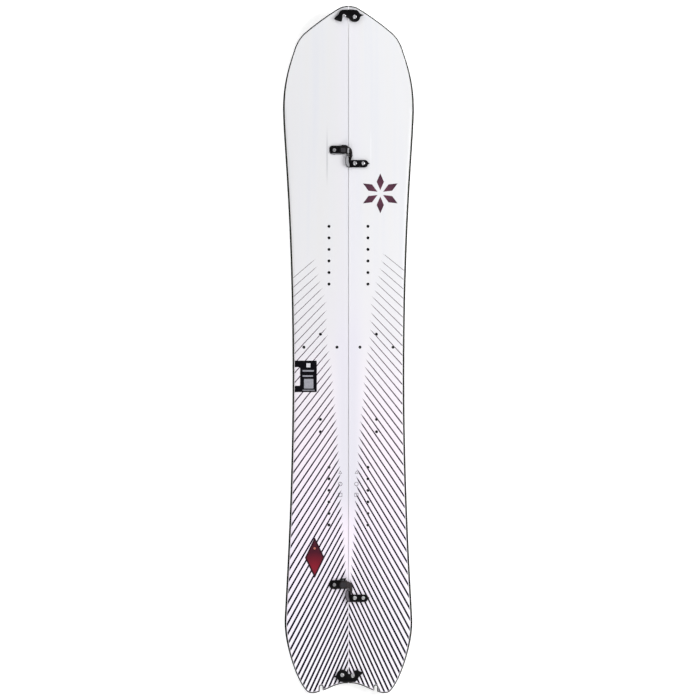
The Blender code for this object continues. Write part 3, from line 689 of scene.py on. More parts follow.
def wood_look():
    """Vertically laminated core: poplar strips with darker beech between."""
    look = Look("core_strips", Specular_IOR_Level=0.3)
    strip_place = look.times(look.axis("X"), 70.0)
    which = look.math("FRACT", strip_place)
    tone = look.math("FLOOR", strip_place)
    random = look.add("ShaderNodeTexWhiteNoise", {"W": tone}, noise_dimensions="1D").outputs["Value"]
    grain = look.noise((900, 9, 300), detail=7.0, roughness=0.65)
    base = look.mix(random, (0.62, 0.44, 0.26), (0.76, 0.60, 0.38))
    color = look.over(base, (0.40, 0.25, 0.12), grain, 0.35, 0.70, 0.6)
    joint = look.spread(which, 0.0, 0.03, 1.0, 0.0)
    color = look.mix(look.times(joint, 0.7), color, (0.22, 0.13, 0.07))
    look.relief(grain, 0.25, 0.0002)
    return look.done(color, look.vary(grain, 0.55, 0.75))


def glass_look():
    """Glass fibre in resin: crossed fibres, darker where they are ground."""
    look = Look("glass_resin", Specular_IOR_Level=0.5)
    fibres = look.noise((1600, 1600, 300), detail=2.0)
    crossed = look.add(
        "ShaderNodeTexBrick",
        {"Vector": look.stretched((380.0, 380.0, 380.0)), "Scale": 1.0, "Mortar Size": 0.06,
         "Color1": (0.070, 0.075, 0.055, 1.0), "Color2": (0.105, 0.110, 0.080, 1.0),
         "Mortar": (0.035, 0.038, 0.030, 1.0)},
    )
    color = look.over(crossed.outputs["Color"], (0.20, 0.21, 0.16), fibres, 0.35, 0.75, 0.4)
    look.relief(fibres, 0.3, 0.00012)
    return look.done(color, look.vary(fibres, 0.30, 0.55))


def wall_look():
    """Black ABS, ground lengthwise and a little scuffed."""
    look = Look("sidewall_abs", Specular_IOR_Level=0.12)
    marks = look.noise((2200, 40, 2600), detail=5.0, roughness=0.7)
    wear = look.noise((14, 14, 90), detail=6.0, roughness=0.7)
    worn = look.times(look.spread(wear, 0.50, 0.72), look.spread(marks, 0.45, 0.70))
    color = look.mix(worn, (0.0035, 0.0035, 0.0042), (0.026, 0.026, 0.029))
    look.relief(marks, 0.22, 0.00010)
    return look.done(color, look.vary(marks, 0.38, 0.62))


def steel_edge_look():
    """Hardened steel edge with file marks along it and a few dull spots."""
    look = Look("edge_steel_ground", Metallic=1.0)
    marks = look.noise((2600, 60, 3200), detail=5.0, roughness=0.7)
    spots = look.noise((160, 90, 160), detail=5.0, roughness=0.65)
    color = look.over((0.34, 0.34, 0.35), (0.62, 0.62, 0.63), marks, 0.3, 0.7)
    color = look.over(color, (0.20, 0.16, 0.13), spots, 0.62, 0.78, 0.5)
    look.relief(marks, 0.25, 0.00006)
    return look.done(color, look.spread(marks, 0.25, 0.75, 0.22, 0.48))


def base_look():
    """Sintered black base with a stone-ground structure and graphite flecks."""
    look = Look("base_sintered", Specular_IOR_Level=0.45)
    structure = look.noise((1500, 14, 1), detail=4.0, roughness=0.6)
    flecks = look.noise((900, 900, 900), detail=2.0)
    wear = look.noise((30, 5, 1), detail=5.0, roughness=0.6)
    color = look.over((0.014, 0.014, 0.017), (0.034, 0.034, 0.038), wear, 0.35, 0.75)
    color = look.over(color, (0.11, 0.11, 0.12), flecks, 0.62, 0.76, 0.5)
    fine = look.spread(structure, 0.35, 0.70)
    color = look.mix(look.times(fine, 0.35), color, (0.075, 0.075, 0.082))
    look.relief(structure, 0.35, 0.00008)
    return look.done(color, look.vary(structure, 0.28, 0.46))


def metal_look(name, dark, light, rough, metallic=1.0, wear=None):
    """Fine-grained metal; wear, where given, shows through in scuffed patches."""
    look = Look(name, Metallic=metallic, Specular_IOR_Level=0.5 if metallic > 0.5 else 0.15)
    fine = look.noise((1400, 1400, 1400), detail=3.0)
    broad = look.noise((260, 260, 260), detail=5.0, roughness=0.6)
    color = look.over(dark, light, broad, 0.3, 0.7)
    color = look.over(color, light, fine, 0.55, 0.80, 0.35)
    if wear:
        patches = look.noise((700, 700, 700), detail=6.0, roughness=0.7)
        color = look.mix(look.spread(patches, 0.50, 0.66, smooth=True), color, wear)
    look.relief(fine, 0.18, 0.00005)
    return look.done(color, look.vary(fine, *rough))


def floor_look():
    """Near-white floor with a glow, dimmed under the board's middle so that the cut reads grey."""
    look = Look("studio_floor", Specular_IOR_Level=0.0, Emission_Color=(1.0, 1.0, 1.0, 1.0))
    cloud = look.noise((1.5, 1.5, 1.5), detail=2.0)
    color = look.mix(cloud, (0.93, 0.93, 0.93), (0.95, 0.95, 0.95))
    beside = look.spread(look.math("ABSOLUTE", look.axis("X")), 0.012, 0.035, 0.3, 1.0, smooth=True)
    past_nose = look.spread(look.axis("Y"), NOSE_Y, NOSE_Y + 0.015, smooth=True)
    past_tail = look.spread(look.axis("Y"), TAIL_SEAM_Y + 0.006, TAIL_SEAM_Y - 0.001, smooth=True)
    beyond = look.math("MAXIMUM", past_nose, past_tail)
    away = look.add("ShaderNodeVectorMath", {0: look.coords}, operation="LENGTH").outputs["Value"]
    strength = look.spread(away, 1.2, 5.0, 0.36, 0.66, smooth=True)
    glow = look.times(look.math("MAXIMUM", beside, beyond), strength)
    look.feed(look.shader.inputs["Emission Strength"], glow)
    return look.done(color, 0.9)


LOOKS = {
    "topsheet": topsheet_look(),
    "ink": ink_look(),
    "glass": glass_look(),
    "wood": wood_look(),
    "wall": wall_look(),
    "steel": steel_edge_look(),
    "base": base_look(),
    "screw": metal_look("screw_stainless", (0.46, 0.46, 0.48), (0.68, 0.68, 0.70), (0.26, 0.42)),
    "screw_dull": metal_look("screw_dull_zinc", (0.24, 0.24, 0.25), (0.36, 0.36, 0.37), (0.34, 0.50)),
    "insert": metal_look("insert_dull", (0.012, 0.012, 0.013), (0.05, 0.05, 0.052), (0.45, 0.65), 0.6),
    "clip": metal_look("clip_anodised", (0.0008, 0.0007, 0.0010), (0.0026, 0.0023, 0.0030),
                       (0.28, 0.42), 0.0),
    "clip_worn": metal_look("clip_worn_edge", (0.0020, 0.0020, 0.0024), (0.0060, 0.0058, 0.0068),
                            (0.26, 0.40), 0.0, wear=(0.050, 0.050, 0.054)),
    "lever": metal_look("lever_anodised", (0.0040, 0.0032, 0.0038), (0.0080, 0.0066, 0.0076),
                        (0.30, 0.44), 0.0),
    "lever_brown": metal_look("lever_brown_anodised", (0.024, 0.019, 0.021), (0.038, 0.032, 0.034),
                              (0.34, 0.48), 0.0),
    "cap": metal_look("pivot_cap", (0.024, 0.022, 0.026), (0.038, 0.036, 0.041), (0.40, 0.55), 0.0),
    # painted highlight: flat grey for the front lever's facet and the front base's ledge, where light
    # catches them
    "facet": metal_look("facet_painted_highlight", (0.20, 0.20, 0.21), (0.30, 0.30, 0.32), (0.42, 0.56), 0.0),
    "catch": metal_look("catch_anodised", (0.20, 0.20, 0.21), (0.30, 0.30, 0.32), (0.38, 0.52), 0.0),
    "catch_dark": metal_look("catch_dark_anodised", (0.095, 0.086, 0.100), (0.140, 0.130, 0.148),
                             (0.38, 0.52), 0.0),
    "spacer": vinyl_look("spacer_acetal", (0.012, 0.012, 0.013), (0.026, 0.026, 0.028)),
    "sticker": vinyl_look("sticker_vinyl", (0.0012, 0.0010, 0.0022), (0.0040, 0.0035, 0.0060)),
    "label_grey": vinyl_look("label_grey", (0.24, 0.24, 0.275), (0.34, 0.34, 0.38)),
    "label_pale": vinyl_look("label_pale", (0.48, 0.48, 0.51), (0.62, 0.62, 0.66)),
    "plum": print_look("plum_print", (0.115, 0.040, 0.066), (0.042, 0.018, 0.030),
                       (0.070, 0.345), 0.045),
    "plum_dark": print_look("plum_dark_print", (0.028, 0.006, 0.011), (0.018, 0.005, 0.009),
                            (-0.0745, -0.457), 0.05),
    "plum_red": print_look("plum_red_print", (0.205, 0.012, 0.024), (0.058, 0.008, 0.018),
                           (-0.0742, -0.480), 0.036),
    "dot": print_look("dot_print", (0.42, 0.13, 0.11), (0.30, 0.09, 0.08), (-0.0744, -0.4365), 0.004),
}


# ---------------------------------------------------------------- board layers
def inner_points():
    """Rows of points inside every layer of a half, clear of its edges and of every insert."""
    from_cut, from_rim, from_insert = 0.0070, 0.0100, 0.0066
    rim_reach, shortest_row = 0.0115, 0.012
    points_in_row = 7
    rim = [(x, y) for x, y, tail in BOARD_OUTLINE]
    centers = [p for side in SIDES for points in insert_points(side).values() for p in points]
    rows = []
    count = round(2 * NOSE_Y / ROW_STEP)
    for i in range(1, count):
        y = -NOSE_Y + 2 * NOSE_Y * i / count
        crossings = [
            a[0] + (b[0] - a[0]) * (y - a[1]) / (b[1] - a[1])
            for a, b in zip(rim, rim[1:]) if (a[1] - y) * (b[1] - y) < 0
        ]
        reach = max(crossings, default=0.0) - rim_reach
        if reach < shortest_row:
            continue
        for part in range(points_in_row):
            x = from_cut + (reach - from_cut) * part / (points_in_row - 1)
            near_rim = any(math.dist((x, y), a) < from_rim for a in rim)
            near_hole = any(math.dist((x, y), a) < from_insert for a in centers)
            if not near_rim and not near_hole:
                rows.append((x, y))
    return rows


INNER_POINTS = inner_points()


def hole_walls(side, levels):
    """Round walls through a layer at every insert: levels are (radius, z) from bottom to top."""
    return [
        [(circle(point, radius), z) for radius, z in levels]
        for points in insert_points(side).values() for point in points
    ]


def finish_layer(work, side, name, node, look):
    """Turns a layer of one half into a piece in place of its CAD node."""
    finish_piece(work, f"{side}_{name}", [look], f"{side}_half", [f"{side}_{node}"],
                 side=side)


def add_sheet(side, name, levels, node, look, inner_x=HALF_SEAM, hole_levels=None):
    """A full layer of one half: levels are (inset, z) from bottom to top."""
    loops = [(half_loop(inset, inner_x), z) for inset, z in levels]
    holes = hole_walls(side, hole_levels) if hole_levels else ()
    finish_layer(bend(layered(loops, holes, extra=INNER_POINTS)), side, name, node, look)


def outer_strip_inset(width, tail_width):
    """Inset of the inner face of an edge or a sidewall."""
    return lambda y, tail: width + (tail_width - width) * tail


def add_rim_strip(side, name, section, node, look, reaches_tail):
    """A strip along the outer edge: section is (inset, z) pairs round it."""
    rails = []
    outer_end = len([p for p in BOARD_OUTLINE if p[1] > OUTER_EDGE_END and p[2] < 1.0])
    for inset, z in section:
        rim = half_rim(inset, HALF_SEAM)
        line = rim if reaches_tail else rim[:outer_end]
        rails.append([(x, y, lift(y, z)) for x, y in line])
    finish_layer(strip(rails), side, name, node, look)


def add_seam_strip(side, name, width, rim_inset, z_low, z_high, node, look):
    """A strip along the cut."""
    rim = half_rim(rim_inset, HALF_SEAM)
    ends = [rim[-1]] + seam_points(rim) + [rim[0]]
    section = ((0.0, z_low), (0.0, z_high), (width, z_high), (width, z_low))
    rails = [[(x + dx, y, lift(y, z)) for x, y in ends] for dx, z in section]
    finish_layer(strip(rails), side, name, node, look)


def add_board_half(side):
    """Base, edges, laminates, core, sidewalls and topsheet of one half."""
    steel_inset = outer_strip_inset(EDGE_WIDTH, 0.0002)
    wall_inset = outer_strip_inset(WALL_WIDTH, TAIL_WALL_WIDTH)
    add_sheet(
        side, "base", [(steel_inset, 0.0), (steel_inset, BASE_TOP)], "base_sheet", "base",
        inner_x=HALF_SEAM + EDGE_WIDTH,
    )
    edge = [(even(0.0002), 0.0), (even(0.0), 0.0002), (even(0.0), BASE_TOP - 0.0002),
            (even(0.0002), BASE_TOP), (steel_inset, BASE_TOP), (steel_inset, 0.0)]
    add_rim_strip(side, "outer_steel", edge, "outer_edge", "steel", False)
    add_seam_strip(side, "inner_steel", EDGE_WIDTH, even(EDGE_WIDTH), 0.0, BASE_TOP,
                   "inner_edge", "steel")
    add_sheet(
        side, "lower_glass", [(even(0.0001), BASE_TOP), (even(0.0001), LOWER_GLASS_TOP)],
        "lower_laminate", "glass",
    )
    core_x = HALF_SEAM + INNER_WALL_WIDTH
    add_sheet(
        side, "core_strips", [(wall_inset, LOWER_GLASS_TOP), (wall_inset, WALL_TOP)], "wood_core",
        "wood", inner_x=core_x,
        hole_levels=[(INSERT_RADIUS, LOWER_GLASS_TOP), (INSERT_RADIUS, WALL_TOP)],
    )
    wall = [
        (even(0.0), LOWER_GLASS_TOP), (even(0.0), 0.0052), (rim_share(0.04), 0.0055),
        (rim_share(0.35), 0.0067), (rim_share(0.66), 0.0078), (rim_share(0.70), WALL_TOP),
        (wall_inset, WALL_TOP), (wall_inset, LOWER_GLASS_TOP),
    ]
    add_rim_strip(side, "outer_wall", wall, "outer_sidewall", "wall", True)
    add_seam_strip(side, "inner_wall", INNER_WALL_WIDTH, wall_inset, LOWER_GLASS_TOP, WALL_TOP,
                   "inner_sidewall", "wall")
    add_sheet(
        side, "upper_glass", [(rim_share(0.70), WALL_TOP), (rim_share(0.88), UPPER_GLASS_TOP)],
        "upper_laminate", "glass",
        hole_levels=[(HOLE_RADIUS, WALL_TOP), (HOLE_RADIUS, UPPER_GLASS_TOP)],
    )
    add_sheet(
        side, "topsheet_film",
        [(rim_share(0.88), UPPER_GLASS_TOP), (rim_share(0.97), SURFACE - 0.0002),
         (rim_share(1.04), SURFACE)],
        "topsheet", "topsheet",
        hole_levels=[(HOLE_RADIUS, UPPER_GLASS_TOP), (HOLE_RADIUS, SURFACE - 0.00015),
                     (HOLE_RADIUS + 0.00015, SURFACE)],
    )


def threaded_barrel(point):
    """Barrel of an insert, with a thread down its bore."""
    pitch = 0.0010
    thread_depth = 0.00045
    thread = [(circle(point, BORE_RADIUS), WALL_TOP)]
    for turn in range(4):
        z = WALL_TOP - pitch * (turn + 0.5)
        thread.append((circle(point, BORE_RADIUS - thread_depth), z))
        thread.append((circle(point, BORE_RADIUS), z - pitch * 0.5))
    outside = circle(point, INSERT_RADIUS)
    return layered([(outside, STRIP_TOP), (outside, WALL_TOP)], pockets=[thread])


def add_inserts(side):
    """Threaded barrels on their retention strips, one piece for each group."""
    for group, points in insert_points(side).items():
        xs, ys = zip(*points)
        outline = rectangle(min(xs) - STRIP_MARGIN, max(xs) + STRIP_MARGIN,
                            min(ys) - STRIP_MARGIN, max(ys) + STRIP_MARGIN, 0.003)
        plate = layered([(outline, CORE_BOTTOM), (outline, STRIP_TOP)])
        work = joined([*(threaded_barrel(point) for point in points), plate])
        finish_layer(bend(work), side, f"{group}_threaded", group, "insert")


# ---------------------------------------------------------------- print on the topsheet
STRIPES = {                 # height at the seam, spacing, its growth, slope, its growth
    "left": (0.5667, 0.01927, 0.0000191, 2.150, 0.0288),
    "right": (0.5584, 0.01971, 0.0000274, 2.162, 0.0301),
}
STRIPE_NUMBERS = range(-45, 16)
INNER_ENDS = (              # distance of the stripes' inner ends from the cut, along the board
    (0.470, 0.094), (0.240, 0.081), (0.108, 0.048), (0.018, 0.044), (-0.030, 0.035),
    (-0.101, 0.029), (-0.243, 0.018), (-0.347, 0.0125), (-0.448, 0.006), (-0.551, 0.0),
    (-0.780, 0.0),
)
LINE_WIDTHS = (             # width of the printed lines, along the board
    (0.470, 0.0006), (0.200, 0.0010), (0.090, 0.0013), (0.000, 0.0017), (-0.140, 0.0027),
    (-0.320, 0.0033), (-0.600, 0.0041), (-0.780, 0.0043),
)
INK_Z = (SURFACE, SURFACE + 0.00003)


def stripe_width(x, y):
    """Width of a printed line: hair-thin at the top, wide at the tail, and wider outwards."""
    return read_off(LINE_WIDTHS, y) * (0.9 + 0.1 * x / 0.13)


def stripe_outline(side, number):
    """Outline of one slanted line, from its inner end to beyond the rim."""
    start, spacing, growth, slope, slope_growth = STRIPES[side]
    at_seam = start + spacing * number + growth * number * number
    steepness = slope + slope_growth * number
    widest, x_step = 0.150, 0.0015
    low_end, high_end = LINE_WIDTHS[-1][0] + 0.005, LINE_WIDTHS[0][0]
    taper_start, taper_end = -0.002, 0.014
    middle = []
    x = 0.0
    while x < widest:
        y = -(at_seam + steepness * x)
        if low_end < y < high_end and x >= read_off(INNER_ENDS, y):
            middle.append((x, y))
        x += x_step
    if len(middle) < 4:
        return None
    across = Vector((steepness, 1.0)).normalized()
    inner = Vector(middle[0])
    tapered = inner.x > 0.002
    sides = ([], [])
    for x, y in middle:
        from_end = (Vector((x, y)) - inner).length
        taper = blend(from_end, taper_start, taper_end) if tapered else 1.0
        half = stripe_width(x, y) * taper / 2
        sides[0].append((x + across.x * half, y + across.y * half))
        sides[1].append((x - across.x * half, y - across.y * half))
    return sides[0] + sides[1][::-1]


def film(shapes, keep_inside, cut_out, z_low, z_high):
    """Thin printed film: the shapes, cut to an outline and clear of the cut-outs."""
    kinds = [0] + [1] * len(shapes) + [2] * len(cut_out)
    points, faces = as_faces([keep_inside, *shapes, *cut_out])
    made = delaunay_2d_cdt(points, [], faces, 1, SNAP, True)
    work = bmesh.new()
    layers = [[work.verts.new((p.x, p.y, z)) for p in made[0]] for z in (z_low, z_high)]
    border = {}
    for face, origins in zip(made[2], made[5]):
        found = {kinds[o] for o in origins}
        if 0 in found and 1 in found and 2 not in found:
            for layer in layers:
                work.faces.new([layer[i] for i in face])
            for i, j in zip(face, face[1:] + face[:1]):
                edge = (min(i, j), max(i, j))
                border[edge] = border.get(edge, 0) + 1
    for (i, j), count in border.items():
        if count == 1:
            work.faces.new((layers[0][i], layers[0][j], layers[1][j], layers[1][i]))
    loose = [v for v in work.verts if not v.link_faces]
    bmesh.ops.delete(work, geom=loose, context="VERTS")
    return work


def printed_area():
    """The part of the right half's topsheet that takes print."""
    return half_loop(lambda y, tail: rim_width(y) * 1.04 + 0.0001, HALF_SEAM + 0.0001)


def add_stripes(side):
    """The slanted lines of one half."""
    shapes = [stripe_outline(side, number) for number in STRIPE_NUMBERS]
    holes = [
        circle(p, HOLE_RADIUS + 0.0003) for points in insert_points(side).values() for p in points
    ]
    work = film([s for s in shapes if s], printed_area(), holes, *INK_Z)
    finish_piece(bend(work), f"{side}_stripes", ["ink"], f"{side}_half",
                 side=side)


def add_print(name, side, shapes, look, thickness, cut_out=(), z_low=SURFACE):
    """A printed mark; its outlines are drawn in the board's own frame."""
    sign = SIDES[side]
    drawn, cuts = (
        [[(x * sign, y) for x, y in shape] for shape in group] for group in (shapes, cut_out)
    )
    work = film(drawn, printed_area(), cuts, z_low, z_low + thickness)
    finish_piece(bend(work), name, [look], f"{side}_half", side=side)


def rhombus(center, half_x, half_y, turn=0.0):
    """A rhombus, turned about its centre."""
    cos, sin = math.cos(turn), math.sin(turn)
    corners = ((half_x, 0), (0, half_y), (-half_x, 0), (0, -half_y))
    made = []
    for i, (x, y) in enumerate(corners):
        on = corners[(i + 1) % 4]
        for step in range(6):
            px = x + (on[0] - x) * step / 6
            py = y + (on[1] - y) * step / 6
            made.append((center[0] + px * cos - py * sin, center[1] + px * sin + py * cos))
    return made


def add_prints():
    """A plain six-armed crystal, and a rhombus with a dot."""
    thickness = 0.00005
    center_x, center_y = 0.0700, 0.3440
    arm_reach = 0.0255
    arms = []
    for i in range(6):
        turn = math.radians(60 * i)
        place = (center_x - math.sin(turn) * arm_reach, center_y + math.cos(turn) * arm_reach)
        arms.append(rhombus(place, 0.0080, 0.0185, turn))
    add_print("right_crystal_print", "right", arms, "plum", thickness)
    middle = (-0.0742, -0.4572)
    outer = rhombus(middle, 0.0216, 0.0450)
    inner = rhombus(middle, 0.0178, 0.0372)
    ring, dot = (circle((-0.0744, -0.4365), radius) for radius in (0.0046, 0.0028))
    for name, shape, look, cuts in (
        ("left_rhombus_rim_print", outer, "plum_dark", [inner]),
        ("left_rhombus_print", inner, "plum_red", [ring]),
        ("left_rhombus_ring_print", ring, "plum_dark", [dot]),
        ("left_rhombus_dot_print", dot, "dot", ()),
    ):
        add_print(name, "left", [shape], look, thickness, cuts)


def add_seam_marks():
    """A triangle, a ring and a square, drawn in thin lines on both sides of the seam."""
    triangle_y, ring_y, square_y = -0.2700, -0.2950, -0.3190
    for side, x in (("left", -0.0180), ("right", 0.0175)):
        marks = {
            "triangle": [
                [(x + dy, triangle_y + dx) for dx, dy in circle((0.0, 0.0), radius, 3)]
                for radius in (0.0044, 0.0030)
            ],
            "ring": [circle((x, ring_y), radius) for radius in (0.0045, 0.0036)],
            "square": [
                rectangle(x - w, x + w, square_y - w, square_y + w, 0.0004) for w in (0.0042, 0.0034)
            ],
        }
        for name, (outside, inside) in marks.items():
            add_print(f"{side}_seam_{name}", side, [outside], "ink", 0.00004, [inside])


def add_sticker():
    """A plain black label on the left half, open towards the rim, with generic blocks on it."""
    body = rounded([
        (-0.1300, -0.0929), (-0.0696, -0.0929), (-0.0696, -0.0237), (-0.1300, -0.0237),
        (-0.1300, -0.0380), (-0.1063, -0.0380), (-0.1063, -0.0790), (-0.1300, -0.0790),
    ], 0.0022)
    thickness = 0.00014
    add_print("left_sticker", "left", [body], "sticker", thickness)
    blocks = {
        "left_sticker_square": ("label_pale", [rectangle(-0.0925, -0.0835, -0.0385, -0.0295)]),
        "left_sticker_bars": ("label_grey", [
            rectangle(-0.1010, -0.0760, -0.0478, -0.0446), rectangle(-0.1010, -0.0780, -0.0592, -0.0560),
            rectangle(-0.1010, -0.0745, -0.0896, -0.0880, 0.0003),
        ]),
        "left_sticker_panel": ("label_grey", [rectangle(-0.0976, -0.0770, -0.0850, -0.0640)]),
    }
    for name, (look, shapes) in blocks.items():
        add_print(name, "left", shapes, look, 0.00003, z_low=SURFACE + thickness)


# ---------------------------------------------------------------- clips and hooks
def clip_matrix(name):
    """Frame of a lever clip: level, on the topsheet."""
    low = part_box(f"{name}_clip_base")[0]
    return Matrix.Translation((0.0, clip_y(name), low.z - PLATE_BOTTOM))


def hook_matrix(name):
    """Frame of an end hook: on the topsheet, leaning with it between two of its stations."""
    y, ends, turned = {
        "nose": (0.7320, (0.7150, 0.7500), False),
        "tail": (-0.7153, (-0.7330, -0.6980), True),
    }[name]
    low, high = (lift(end, SURFACE) for end in ends)
    lean = math.atan2(high - low, ends[1] - ends[0])
    height = low + (high - low) * (y - ends[0]) / (ends[1] - ends[0])
    matrix = Matrix.Translation((0.0, y, height)) @ Matrix.Rotation(lean, 4, "X")
    return matrix @ Matrix.Rotation(math.pi, 4, "Z") if turned else matrix


def plate_loops(outline, z_low, z_high, bevel):
    """Loops of a flat part with rounded edges."""
    small = inwards(outline, bevel * 0.3)
    inner = inwards(outline, bevel)
    return [
        (inner, z_low), (outline, z_low + bevel), (outline, z_high - bevel),
        (small, z_high - bevel * 0.3), (inner, z_high),
    ]


def bores(centers, z_low, z_high, radius=SCREW_HOLE):
    """Round walls right through a plate."""
    return [[(circle(center, radius, 32), z) for z in (z_low, z_high)] for center in centers]


def paint_faces(work, number, test):
    """Gives the faces whose corners all pass a test the material of that number."""
    for face in work.faces:
        if all(test(vert.co) for vert in face.verts):
            face.material_index = number


def finish_fitting(work, name, looks, body, matrix, node=None):
    """Turns a part of a clip or hook into a piece; its node has the same name, less "_detail"."""
    finish_piece(work, name, looks, body, [node or name.removesuffix("_detail")], matrix)


def beveled_plate(outline, z_low, z_high, bevel, holes):
    """A flat part with rounded edges, whose upper bevel takes the second look."""
    work = layered(plate_loops(outline, z_low, z_high, bevel), holes)
    bevel_start = z_high - bevel - 1e-6
    paint_faces(work, 1, lambda co: co.z > bevel_start)
    paint_faces(work, 0, lambda co: co.z > z_high - 1e-7)
    return work


def turned(profile, center, pocket):
    """A solid of circles, (radius, z) from bottom to top, with a pocket in its top."""
    return layered([(circle(center, radius, 40), z) for radius, z in profile], pockets=[pocket])


def socket(center, top, across=0.0030, depth=0.0013):
    """Hexagonal drive recess with a chamfered mouth."""
    turn = 0.3
    levels = ((across + 0.0004, top), (across, top - 0.0002), (across, top - depth),
              (across * 0.35, top - depth - 0.0004))
    loops = []
    for width, z in levels:
        reach = width / 2 / math.cos(math.pi / 6)
        angles = [math.radians(60 * i) + turn for i in range(6)]
        corners = [(center[0] + reach * math.cos(a), center[1] + reach * math.sin(a)) for a in angles]
        loops.append((corners, z))
    return loops


def add_cap_screw(name, center, head_z, shank_z, matrix, body, look="screw", reach=0.0044):
    """Button-head screw with a hexagonal recess."""
    top = head_z + 0.0022
    crown = reach - 0.0012
    profile = [
        (0.0019, shank_z), (0.0025, shank_z + 0.0006), (0.0025, head_z),
        (reach - 0.0003, head_z), (reach, head_z + 0.0003), (reach, head_z + 0.0010),
        (reach - 0.0002, head_z + 0.0015), (reach - 0.0007, head_z + 0.00195),
        (crown, top - 0.00006), (crown - 0.0004, top),
    ]
    work = turned(profile, center, socket(center, top))
    finish_fitting(work, name, [look], body, matrix)


def base_plate_outline():
    """Base of a lever clip, with its chamfered end and a swelling round its screw."""
    return rounded([
        (-0.0420, 0.0105), (-0.0392, 0.0066), (-0.0352, 0.0053), (-0.0320, 0.0046),
        (-0.0290, 0.0050), (-0.0265, 0.0053), (-0.0040, 0.0053), (-0.0020, 0.0080),
        (-0.0020, 0.0220), (-0.0040, 0.0245), (-0.0362, 0.0245), (-0.0400, 0.0232),
        (-0.0420, 0.0190),
    ], 0.0010)


def lever_outline(tab):
    """Hook lever: disc round the pivot, thumb tab, and a finger over the seam."""
    disc = arc(LEVER_PIVOT, 0.0080, 104, 290, 9)
    finger_inside = [(-0.0035, 0.0085), (0.0002, 0.0074), (0.0020, 0.0050), (0.0022, -0.0020)]
    finger_tip = [(0.0034, -0.0052), (0.0052, -0.0060), (0.0070, -0.0045)]
    finger_outside = [(0.0088, 0.0020), (0.0088, 0.0100), (0.0066, 0.0170), (0.0020, 0.0218)]
    return rounded(disc + finger_inside + finger_tip + finger_outside + tab, 0.0016)


def catch_plate_outline():
    """Screwed plate of a catch, with its pointed end."""
    return rounded([
        (0.0010, -0.0235), (0.0370, -0.0235), (0.0410, -0.0215), (0.0427, -0.0170),
        (0.0468, -0.0145), (0.0427, -0.0120), (0.0410, -0.0085), (0.0370, -0.0070),
        (0.0030, -0.0070), (0.0010, -0.0090),
    ], 0.0013)


def crescent_outline():
    """Finger of a catch, which bulges over the seam."""
    outside = [(0.0030, -0.0235), (-0.0020, -0.0225), (-0.0058, -0.0180), (-0.0074, -0.0110)]
    end = [(-0.0072, -0.0040), (-0.0052, 0.0016), (-0.0020, 0.0034), (0.0006, 0.0020)]
    inside = [(0.0012, -0.0040), (0.0012, -0.0120), (0.0030, -0.0180)]
    return rounded(outside + end + inside, 0.0018)


def hook_outline():
    """End hook: round lobe, thumb fin, arched bar, foot and the mouth round the post."""
    lobe = arc(HOOK_PIVOT, 0.0125, -135, 0, 7)
    fin = [(0.0345, 0.0035), (0.0258, 0.0060)]
    bar = [(0.0225, 0.0108), (0.0185, 0.0146), (0.0105, 0.0157), (-0.0135, 0.0152), (-0.0188, 0.0121)]
    foot = [(-0.0222, 0.0050), (-0.0314, -0.0040), (-0.0305, -0.0065), (-0.0180, -0.0113)]
    mouth = [(-0.0140, -0.0105), (-0.0134, 0.0030), (-0.0115, 0.0058), (-0.0078, 0.0058)]
    beak = [(-0.0060, 0.0030), (-0.0062, -0.0016), (-0.0050, -0.0022), (0.0000, -0.0030)]
    return rounded(lobe + fin + bar + foot + mouth + beak, 0.0018)


def add_clip_base(prefix, matrix, ledge_look):
    """Base plate of a lever clip: a deck on a wider foot, with a ledge along its near side."""
    outline = base_plate_outline()
    shelf_z = 0.0021
    deck = [(max(x, -0.0400), max(y, 0.0078)) for x, y in outline]
    foot = [(inwards(outline, 0.0003), PLATE_BOTTOM), (outline, 0.0006), (outline, 0.0015),
            (inwards(outline, 0.0010), shelf_z)]
    top = plate_loops(deck, shelf_z, PLATE_TOP, 0.0005)[2:]
    holes = bores((CLIP_SCREW, LEVER_PIVOT), PLATE_BOTTOM, PLATE_TOP)
    work = layered(foot + [(inwards(deck, 0.00002), shelf_z)] + top, holes)
    # the ledge's top along the near side takes ledge_look, a painted highlight on the front clip
    paint_faces(work, 1, lambda co: shelf_z - 1e-6 < co.z < shelf_z + 1e-6 and co.y < 0.0120)
    finish_fitting(work, f"{prefix}_clip_base_detail", ["clip", ledge_look], "left_half",
                   matrix)


def add_clip_lever(prefix, matrix, tab, looks):
    """Hook lever: its finger lies lower than its disc, and a facet joins the two; on the front clip the
    facet takes a painted highlight.
    """
    step_start, step_end, step_drop = -0.0026, 0.0008, 0.0011
    lean = 0.09
    lean_y = 0.0080
    bevel = 0.0006
    facet_rows = [0.0082 + 0.0010 * i for i in range(12)]
    facet_lines = (step_start, (step_start + step_end) / 2, step_end)
    extra = [(x + lean * (y - lean_y), y) for x in facet_lines for y in facet_rows]
    hole = bores([LEVER_PIVOT], LEVER_BOTTOM, LEVER_TOP)
    work = layered(plate_loops(lever_outline(tab), LEVER_BOTTOM, LEVER_TOP, bevel), hole, extra=extra)

    def across(co):
        return (co.x - lean * (co.y - lean_y) - step_start) / (step_end - step_start)

    def on_top(co):
        return co.z > LEVER_TOP - 1e-7

    def on_facet(co):
        return on_top(co) and -0.01 < across(co) < 1.01 and 0.0060 < co.y < 0.0195

    paint_faces(work, 1, lambda co: co.z > LEVER_TOP - bevel - 1e-6)
    paint_faces(work, 0, on_top)
    # the facet takes the third look: a painted highlight on the front clip
    paint_faces(work, 2, on_facet)
    paint_faces(work, 1, lambda co: co.y > 0.0236)
    for vert in work.verts:
        if vert.co.z > LEVER_BOTTOM + 0.0010 and vert.co.y < 0.0225:
            vert.co.z -= step_drop * min(max(across(vert.co), 0.0), 1.0)
    finish_fitting(work, f"{prefix}_clip_lever_detail", looks, f"{prefix}_lever",
                   matrix)


